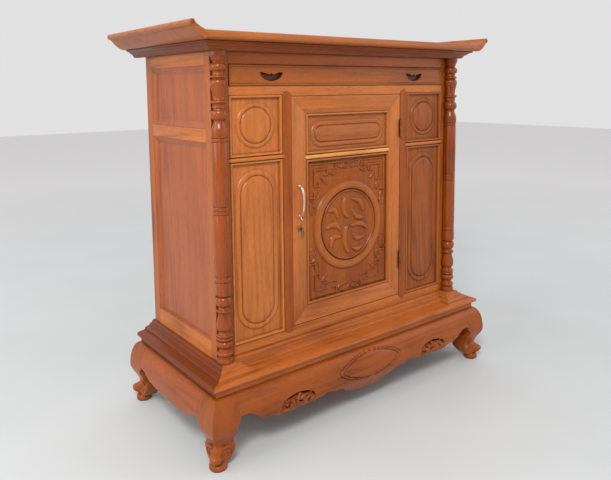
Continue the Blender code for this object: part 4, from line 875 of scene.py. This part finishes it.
# Corner ornament in fret units from the corner: broken lines, then leaves
FRETS = (
    ((9.2, 1.9), (11.0, 1.9), (11.0, 0.0), (0.0, 0.0), (0.0, 11.0), (1.9, 11.0), (1.9, 9.2)),
    ((5.8, 3.8), (7.4, 3.8), (7.4, 1.9), (1.9, 1.9), (1.9, 7.4), (3.8, 7.4), (3.8, 5.8)),
)
FRET_UNIT = 0.0102
FRET_MARGIN = 0.0185
FRET_RISE = 0.0042
FRET_HALF_WIDTH = 0.003
SPRAYS = (
    ((11.6, 0.4), (12.6, 2.4), (14.2, 1.6), 0.003),
    ((12.4, 0.2), (14.2, -0.6), (15.6, 0.6), 0.0028),
    ((13.6, 1.4), (14.8, 2.6), (16.0, 1.9), 0.0024),
    ((8.4, 3.4), (9.8, 4.4), (11.2, 3.2), 0.0026),
    ((4.6, 4.6), (6.2, 5.6), (6.6, 6.8), 0.0028),
    ((15.0, 0.2), (16.2, 0.0), (16.6, 1.0), 0.0018),
)


def fret_height(u, v):
    """Flat-topped fillets along the fret's lines, with leaf strokes beside
    them mirrored about the corner, all on slightly sunk ground."""
    high = np.zeros(np.shape(u))
    for path in FRETS:
        for (u0, v0), (u1, v1) in zip(path, path[1:]):
            run = np.array((u1 - u0, v1 - v0))
            length = float(np.hypot(*run))
            t = np.clip(((u - u0) * run[0] + (v - v0) * run[1]) / length ** 2, 0.0, 1.0)
            d = np.hypot(u - u0 - t * run[0], v - v0 - t * run[1]) * FRET_UNIT
            fillet = np.clip((FRET_HALF_WIDTH - d) / 0.0012, 0.0, 1.0) ** 0.7
            high = np.maximum(high, FRET_RISE * fillet)
    for start, bend, end, thick in SPRAYS:
        for flip in (False, True):
            p, q = (v, u) if flip else (u, v)
            high = np.maximum(high, stroke_height(p, q, start, bend, end,
                                                  1.15 * thick / FRET_UNIT, FRET_RISE))
    reach = np.maximum(np.minimum(u, v), np.maximum(u, v) - 9.0)
    ground = (np.clip((5.6 - reach) / 0.4, 0.0, 1.0)
              * np.clip((17.0 - np.maximum(u, v)) / 0.4, 0.0, 1.0))
    return np.where(high > 0.0, high, -0.0007 * ground)


def carved_depth(x, z):
    """Depth of the tall panel: its bead, the ring as a flattened half round
    with a raised lip inside it, the strokes and the corners."""
    y, e = bead_depth(x, z, -PANEL_HALF, PANEL_HALF, LOWER_BOTTOM + FIT, LOWER_TOP - FIT)
    r = np.hypot(x, z - RING_HEIGHT)
    centre = (RING_OUTER + RING_INNER) / 2
    q = np.clip((r - centre) / ((RING_OUTER - RING_INNER) / 2), -1.0, 1.0)
    ring = 0.008 * np.sqrt(1 - q ** 2) ** 0.9
    lip = np.interp(r, (0.0, RING_BED, 0.1162, 0.119, 0.1212, 0.1226, RING_INNER),
                    (BED_RISE, BED_RISE, 0.004, 0.0052, 0.0046, 0.0006, 0.0))
    high = np.where(r < RING_INNER, lip, ring)
    for start, bend, end, thick in STROKES:
        lift = stroke_height(x, z - RING_HEIGHT, start, bend, end, 1.75 * thick, 0.0068, 0.22)
        high = np.where(r < RING_BED, np.maximum(high, BED_RISE + lift), high)
    u = (PANEL_HALF - np.abs(x) - FRET_MARGIN) / FRET_UNIT
    v = (np.minimum(z - LOWER_BOTTOM, LOWER_TOP - z) - FRET_MARGIN) / FRET_UNIT
    high = np.where(r > RING_OUTER + 0.003, fret_height(u, v), high)
    return y - np.where(e > BEAD_REACH, high, 0.0)


# Both door panels get a painted highlight colour on the crests of their carving and cushion,
# through the crest argument
carved_wood = varnished("carved panel hardwood", "z", (0.3, 0.067, 0.004),
                        (0.185, 0.036, 0.002), 31.0, figure=5.0, bleach=0.85,
                        crest=((0.42, 0.122, 0.02), FRONT + 0.0018, FRONT + CREST_FORE))
cushion_wood = varnished("cushion panel hardwood", "x", (0.36, 0.098, 0.02), GOLDEN_DARK,
                         32.0, figure=10.0,
                         crest=((0.5, 0.165, 0.035), FRONT + CREST_BACK, FRONT + CREST_FORE))
mesh = carved_board("carved door panel", -PANEL_HALF, PANEL_HALF, LOWER_BOTTOM + FIT,
                    LOWER_TOP - FIT, FRONT + FIELD_DEPTH + PANEL_THICKNESS, carved_depth, 0.0015)
finish_piece("carved_door_panel", mesh, carved_wood, "door", ("door_lower_panel",), sharp=60.0)
boss_panel("cushion_door_panel", "door_upper_panel", -PANEL_HALF, PANEL_HALF,
           UPPER_BOTTOM + FIT, UPPER_TOP - FIT, 0.0, 0.9365, 0.164, 0.043, 0.016,
           cushion_wood, "door")

# Door fittings: a bowed pull on two roses, a round lock face with its key
# left in it, and two knuckle hinges, all cast or turned brass and steel that
# has toned with handling.
HANDLE_X = -0.216
HANDLE_Z = 0.725
HANDLE_HALF = 0.0485
HANDLE_OUT = 0.0215
HANDLE_TAIL = 0.0126
LOCK_X = -0.215
LOCK_Z = 0.635
KEY_BOW_WIRE = 0.0012
HINGE_X = 0.2448
HINGE_RADIUS = 0.0042
HINGE_LENGTH = 0.062
HINGE_SEAM = 0.0007
HINGE_LEAF_END = 0.251
HINGE_LEVELS = (0.9386, 0.4471)
# Turned sections as (radius, distance along the axis)
ROSE = ((0.0061, 0.0), (0.0062, -0.0012), (0.0058, -0.002), (0.005, -0.0024),
        (0.0048, -0.0034), (0.0043, -0.0046), (0.0036, -0.0052))
PLATE = ((0.0085, 0.0), (0.0085, -0.0012), (0.0081, -0.0018), (0.0073, -0.0021),
         (0.0069, -0.0019), (0.0064, -0.0022), (0.0052, -0.0027), (0.003, -0.0028))
STEM = ((0.0022, 0.0), (0.0022, -0.0066), (0.003, -0.0072), (0.0031, -0.0078),
        (0.0024, -0.0084), (0.0022, -0.011))
FINIAL = ((0.0008, -0.003), (0.0018, -0.0027), (0.0024, -0.002), (0.002, -0.001),
          (0.003, -0.0006))


def toned_metal(name, colour, tarnish, seed, rough):
    """Cast metal with handling marks: cloudy tarnish that settles in the
    hollows, fine scratches in the gloss and a faintly hammered skin."""
    s = Sheet(name)
    coords = s.place()
    cloud = s.noise(coords, 90.0 + seed, 5.0)
    fine = s.noise(coords, 900.0, 3.0)
    hollow = s.hollows(0.006, 4)
    dull = s.maths("MAXIMUM", s.ramp(cloud, ((0.4, 0.0), (0.68, 0.75))),
                   s.ramp(hollow, ((0.35, 0.9), (0.8, 0.0))))
    s.put("Base Color", s.mix(dull, colour, tarnish))
    gloss = s.maths("MULTIPLY_ADD", fine, 0.14, rough - 0.07)
    s.put("Roughness", s.maths("MULTIPLY_ADD", dull, 0.3, gloss))
    s.put("Metallic", 1.0)
    s.relief(s.maths("MULTIPLY_ADD", fine, 0.3, cloud), 0.15, 0.0004)
    return s.mat


def turned(axis, origin, sections, count=28):
    """Solid of revolution: (radius, distance along the axis) sections about
    a line along y or z through the origin."""
    r, d = np.array(sections).T[:, :, None]
    a = circle(count)
    across, other = r * np.cos(a), r * np.sin(a)
    along = np.broadcast_to(d, across.shape)
    places = (across, along, other) if axis == "y" else (across, other, along)
    return np.stack(places, axis=-1) + origin


def looped_mesh(name, rows):
    """A ring of round section: the last loop joins the first, so there are
    no ends to close."""
    index = np.arange(rows.shape[0] * rows.shape[1]).reshape(rows.shape[:2])
    after, up = np.roll(index, -1, axis=1), np.roll(index, -1, axis=0)
    quads = np.stack((index, after, np.roll(up, -1, axis=1), up), axis=-1).reshape(-1, 4)
    points = rows.reshape(-1, 3)
    if volume_of(points, quads) < 0:
        quads = quads[:, ::-1]
    return new_mesh(name, points, quads.tolist())


def fitting(name, shape, metal, body, node, sharp=38.0):
    finish_piece(name, shape, metal, body, (node,), sharp)


pull_metal = toned_metal("pull metal", (0.88, 0.59, 0.46), (0.5, 0.26, 0.17), 1.0, 0.28)
lock_metal = toned_metal("lock metal", (0.3, 0.2, 0.12), (0.08, 0.05, 0.035), 2.0, 0.38)
hinge_metal = toned_metal("hinge metal", (0.33, 0.145, 0.055), (0.14, 0.055, 0.022), 3.0, 0.46)

# Pull: a rod bowed out between its roses, with a thin tail below the lower
face = FRONT - FIT
t = np.linspace(0.0, 1.0, 49)
tail = np.linspace(0.0, 1.0, 9)[1:]
bow_z = HANDLE_Z + HANDLE_HALF * np.cos(math.pi * t)
bow_y = face - 0.0002 - (HANDLE_OUT - 0.0006) * np.sin(math.pi * t) ** 0.8
bow_r = 0.0034 + 0.0011 * np.sin(math.pi * t)
bow_z = np.concatenate((bow_z[:-1], HANDLE_Z - HANDLE_HALF - HANDLE_TAIL * tail))
bow_y = np.concatenate((bow_y[:-1], face - 0.0042 - 0.0072 * tail ** 2))
bow_y[0], bow_y[-9] = face - 0.0012, face - 0.0036
bow_r = np.concatenate((bow_r[:-1], 0.0033 - 0.0017 * tail))
slope_y, slope_z = np.gradient(bow_y), np.gradient(bow_z)
size = np.hypot(slope_y, slope_z)
a = circle(16)
rows = np.empty((len(bow_z), len(a), 3))
rows[..., 0] = HANDLE_X + bow_r[:, None] * np.cos(a)
rows[..., 1] = np.minimum(bow_y[:, None] - (slope_z / size * bow_r)[:, None] * np.sin(a), face)
rows[..., 2] = bow_z[:, None] + (slope_y / size * bow_r)[:, None] * np.sin(a)
fitting("bow_pull", rows, pull_metal, "door", "handle", 70.0)
for rose_name, level in (("upper", HANDLE_HALF), ("lower", -HANDLE_HALF)):
    rose = turned("y", (HANDLE_X, face, HANDLE_Z + level), ROSE)
    fitting("pull_rose_" + rose_name, rose, pull_metal, "door", "handle")

# Lock face, and the key's stem with its bow hanging from it
plate = turned("y", (LOCK_X, face, LOCK_Z), PLATE)
fitting("lock_face", plate, lock_metal, "door", "lock")
start = face - 0.0028 - FIT
stem = turned("y", (LOCK_X, start, LOCK_Z), STEM, 20)
fitting("key_stem", stem, lock_metal, "door", "key")
a, b = circle(40), circle(10)
wire = KEY_BOW_WIRE * np.cos(b)
rows = np.empty((len(a), len(b), 3))
rows[..., 0] = (LOCK_X + 0.004 * (np.cos(a) * (1.0 - 0.25 * np.sin(a)))[:, None]
                + np.cos(a)[:, None] * wire)
rows[..., 1] = start - 0.0092 + KEY_BOW_WIRE * np.sin(b)
rows[..., 2] = (LOCK_Z - 0.013 + 0.0178 * np.sin(a)[:, None]
                + np.sin(a)[:, None] * wire)
fitting("key_bow", looped_mesh("key bow", rows), lock_metal, "door", "key")

# Hinges: a barrel of three knuckles with a finial at each end, and its leaf
barrel_y = FRONT - HINGE_RADIUS - 0.0022
barrel = list(FINIAL) + [(HINGE_RADIUS, 0.0)]
for seam in (HINGE_LENGTH / 3, HINGE_LENGTH * 2 / 3):
    barrel += [(HINGE_RADIUS, seam - 0.0006), (HINGE_RADIUS - HINGE_SEAM, seam - 0.0002),
               (HINGE_RADIUS - HINGE_SEAM, seam + 0.0002), (HINGE_RADIUS, seam + 0.0006)]
barrel += [(HINGE_RADIUS, HINGE_LENGTH)] + [(r, HINGE_LENGTH - d) for r, d in FINIAL[::-1]]
for hinge_name, level in zip(("upper", "lower"), HINGE_LEVELS):
    base = level - HINGE_LENGTH / 2
    rows = turned("z", (HINGE_X, barrel_y, base), barrel)
    fitting("knuckle_hinge_" + hinge_name, rows, hinge_metal, "cabinet",
            "hinge_" + hinge_name)
    x0, x1, y1 = HINGE_X + 0.001, HINGE_LEAF_END, FRONT - 0.0018
    leaf = np.array([[(x0, barrel_y, z), (x1 - 0.0006, barrel_y + 0.003, z),
                      (x1, barrel_y + 0.0036, z), (x1, y1, z), (x0, y1, z)]
                     for z in (base + 0.0003, base + HINGE_LENGTH - 0.0003)])
    fitting("hinge_leaf_" + hinge_name, leaf, hinge_metal, "cabinet",
            "hinge_" + hinge_name)

# Drawer: its front is one long board with a beaded edge and two bat-shaped
# finger grips carved in; the sides, back and bottom behind it are plain wood.
DRAWER_HALF = 0.47
DRAWER_LOW = 0.001 + 1.0932
DRAWER_HIGH = 1.1589 - 0.001
DRAWER_THICKNESS = 0.02
GRIP_X = 0.319
GRIP_HALF = 0.0415
GRIP_TOP = 1.1352
GRIP_LOW = 1.109
GRIP_DEPTH = 0.0122


def drawer_depth(x, z):
    """Rounded bead round the face, and in each grip a hollow between half an
    oval below and two humps above, with walls that slope at both edges."""
    e = np.minimum(DRAWER_HALF - np.abs(x), np.minimum(z - DRAWER_LOW, DRAWER_HIGH - z))
    y = FRONT + np.interp(e, (0.0, 0.0008, 0.002, 0.0034, 0.005, 0.0062, 0.0074, 0.0086),
                          (0.0006, -0.001, -0.0022, -0.0025, -0.0022, -0.0006, 0.0012, 0.0005))
    u = (np.abs(x) - GRIP_X) / GRIP_HALF
    w = np.clip(np.abs(u), 0.0, 1.0)
    low = GRIP_TOP - (GRIP_TOP - GRIP_LOW) * np.sqrt(1 - w ** 2)
    roof = GRIP_TOP + np.interp(w, (0.0, 0.06, 0.17, 0.3, 0.55, 0.8, 1.0),
                                (-0.0016, -0.004, -0.0068, -0.005, -0.0018, 0.0004, 0.0006))
    t = (z - low) / np.maximum(roof - low, 1e-4)
    slope = np.minimum(t * (roof - low) / 0.0016, (roof - z) / 0.0022)
    inside = (t > 0) & (t < 1) & (np.abs(u) < 1)
    return np.where(inside, y + GRIP_DEPTH * np.clip(slope, 0.0, 1.0), y)


drawer_wood = varnished("drawer front hardwood", "x", (0.33, 0.084, 0.013), STAND_DARK, 41.0)
# Painted shade: a near-black finish for the inside of the finger grips, standing in for the
# shade in the recess
grip_painted_shade = varnished("grip hollow painted shade", "x", (0.105, 0.018, 0.003),
                      (0.045, 0.008, 0.002), 42.0, bleach=0.0)
mesh = carved_board("drawer face", -DRAWER_HALF, DRAWER_HALF, DRAWER_LOW, DRAWER_HIGH,
                    FRONT + DRAWER_THICKNESS, drawer_depth, 0.0012)
finish_piece("drawer_face", mesh, drawer_wood, "drawer", ("drawer_front",), sharp=60.0)
# Faces inside each grip's hollow take the painted shade finish
mesh.materials.append(grip_painted_shade)
for polygon in mesh.polygons:
    at = polygon.center
    if (abs(abs(at.x) - GRIP_X) < GRIP_HALF and GRIP_LOW < at.z < GRIP_TOP
            and 0.0025 < at.y - FRONT < 0.016):
        polygon.material_index = 1

# Top board: one wide glued-up board with a rounded front edge, whose two
# ends sweep up into rolled tips with a small scroll eye on the front grain.
TOP_UNDERSIDE = 1.22
TOP_FLAT = 1.245
TOTAL_HEIGHT = 1.27
TOP_HALF_WIDTH = 0.6375
FLARE_START = 0.585
TIP_RADIUS = 0.009
TOP_FRONT = -0.2785
TOP_BACK = 0.3089
# Front nosing: distance from the front and how far it draws in
NOSING = ((0.011, 0.0), (0.007, 0.0006), (0.0038, 0.0022), (0.0014, 0.0047), (0.0, 0.0085))
# Scroll eye as (radius, distance along the axis)
EYE = ((0.0052, 0.0006), (0.0052, -0.0004), (0.0046, -0.001), (0.0036, -0.0008),
       (0.003, -0.0014), (0.0014, -0.0018))


def top_half_outline():
    """Half section from the underside to the upper face: flat, a hollow
    flare, a rolled tip and a falling curve back to the flat."""
    t = np.linspace(0.0, 1.0, 15)
    flare = np.column_stack((FLARE_START + 0.041 * t,
                             TOP_UNDERSIDE + 0.0312 * (0.35 * t + 0.65 * t * t)))
    a = np.radians(np.linspace(-75, 140, 30))
    tip = np.column_stack((TOP_HALF_WIDTH - TIP_RADIUS + TIP_RADIUS * np.cos(a),
                           TOTAL_HEIGHT - TIP_RADIUS + TIP_RADIUS * np.sin(a)))
    t = np.linspace(0.0, 1.0, 16)
    fall = np.column_stack((0.62 - 0.029 * t, 1.262 - 0.017 * (1.6 * t - 0.6 * t * t)))
    return np.concatenate((flare, tip, fall))


half_outline = top_half_outline()
outline = np.concatenate((half_outline, half_outline[::-1] * (-1, 1)))
middle_z = (TOP_UNDERSIDE + TOP_FLAT) / 2
ends = (np.abs(outline[:, 0]) > FLARE_START + 0.0005) & ~(
    (np.abs(outline[:, 0]) < 0.592) & (outline[:, 1] > TOP_FLAT - 0.001))
loops = [np.column_stack((outline[:, 0], np.full(len(outline), TOP_BACK), outline[:, 1]))]
for behind, inset in NOSING:
    y = TOP_FRONT + behind
    held = y if inset == 0.0 else max(y, TOP_FRONT + 0.0005 + 0.002 * inset)
    drawn = outline[:, 1] + np.where(outline[:, 1] > middle_z, -inset, inset)
    loops.append(np.column_stack((outline[:, 0], np.where(ends, held, y),
                                  np.where(ends, outline[:, 1], drawn))))
top_wood = varnished("top board hardwood", "x", (0.36, 0.1, 0.022), GOLDEN_DARK, 51.0)
finish_piece("flared_top", np.array(loops), top_wood, "cabinet", ("top_board",), sharp=30.0)
for side_name, side in (("left", -1), ("right", 1)):
    centre = (side * (TOP_HALF_WIDTH - TIP_RADIUS), TOP_FRONT + 0.0006,
              TOTAL_HEIGHT - TIP_RADIUS)
    finish_piece("scroll_eye_" + side_name, turned("y", centre, EYE, 24), cornice_wood,
                 "cabinet")

# Floor and studio: a plain pale floor that grows paler towards the horizon,
# soft light from the front left, weaker light from the right and the side,
# and an even pale sky.
FLOOR_HALF = 14
floor_mesh = bpy.data.meshes.new("floor")
floor_mesh.from_pydata([(x * FLOOR_HALF, y * FLOOR_HALF, 0)
                        for x, y in ((-1, -1), (1, -1), (1, 1), (-1, 1))], [], [(0, 1, 2, 3)])
floor = bpy.data.objects.new("floor", floor_mesh)
bpy.context.scene.collection.objects.link(floor)
s = Sheet("pale floor")
coords = s.place()
near_tone = s.ramp(s.noise(coords, 2.0, 3.0), ((0.3, (0.57, 0.59, 0.59)),
                                               (0.7, (0.605, 0.625, 0.625))))
away = s.node("VectorMath", {0: coords}, operation="LENGTH").outputs["Value"]
haze = s.node("MapRange", {"Value": away, "From Min": 1.2, "From Max": 5.5}).outputs[0]
s.put("Base Color", s.mix(haze, near_tone, (0.8, 0.79, 0.79)))
s.put("Specular IOR Level", 0.25)
s.put("Roughness", 0.55)
floor_mesh.materials.append(s.mat)


def soft_light(name, place, aim, size, power):
    """A square area lamp that looks at a point."""
    lamp = bpy.data.lights.new(name, "AREA")
    lamp.size = size
    lamp.energy = power
    obj = bpy.data.objects.new(name, lamp)
    bpy.context.scene.collection.objects.link(obj)
    away = np.array(place, float) - np.array(aim, float)
    obj.location = place
    tilt = math.atan2(math.hypot(away[0], away[1]), away[2])
    obj.rotation_euler = (tilt, 0.0, math.atan2(away[0], -away[1]))


soft_light("key light", (-2.6, -2.6, 3.6), (0.0, 0.0, 0.7), 1.1, 135.0)
soft_light("fill light", (3.4, -2.4, 2.2), (0.0, 0.0, 0.6), 2.6, 20.0)
soft_light("side light", (-4.0, 0.6, 2.2), (0.0, 0.0, 0.6), 2.4, 50.0)
world = bpy.data.worlds.new("studio")
world.use_nodes = True
world.node_tree.nodes["Background"].inputs[0].default_value = (0.755, 0.75, 0.76, 1.0)
world.node_tree.nodes["Background"].inputs[1].default_value = 1.0
bpy.context.scene.world = world
bpy.context.scene.view_settings.view_transform = "Standard"

# Camera at the photograph's viewing angle, standing height, turned to the
# left corner, with the frame dropped by a vertical shift.
CAMERA_PLACE = (-1.3952, -1.7319, 1.0878)
CAMERA_YAW = math.radians(37.9925)
CAMERA_PITCH = math.radians(6.5589)
CAMERA_ROLL = -0.0090002
ahead = np.array((math.sin(CAMERA_YAW) * math.cos(CAMERA_PITCH),
                  math.cos(CAMERA_YAW) * math.cos(CAMERA_PITCH), -math.sin(CAMERA_PITCH)))
right = np.cross(ahead, (0.0, 0.0, 1.0))
right /= np.linalg.norm(right)
up = np.cross(right, ahead)
turn = np.array(((math.cos(CAMERA_ROLL), math.sin(CAMERA_ROLL)),
                 (-math.sin(CAMERA_ROLL), math.cos(CAMERA_ROLL))))
place = np.eye(4)
place[:3, :2] = (turn @ np.array((right, up))).T
place[:3, 2] = -ahead
place[:3, 3] = CAMERA_PLACE
lens = bpy.data.cameras.new("camera")
lens.sensor_width = 36.0
lens.lens = 36.028
lens.shift_x = -0.0003
lens.shift_y = -0.1342
camera = bpy.data.objects.new("camera", lens)
bpy.context.scene.collection.objects.link(camera)
camera.matrix_world = Matrix(place.tolist())
bpy.context.scene.camera = camera
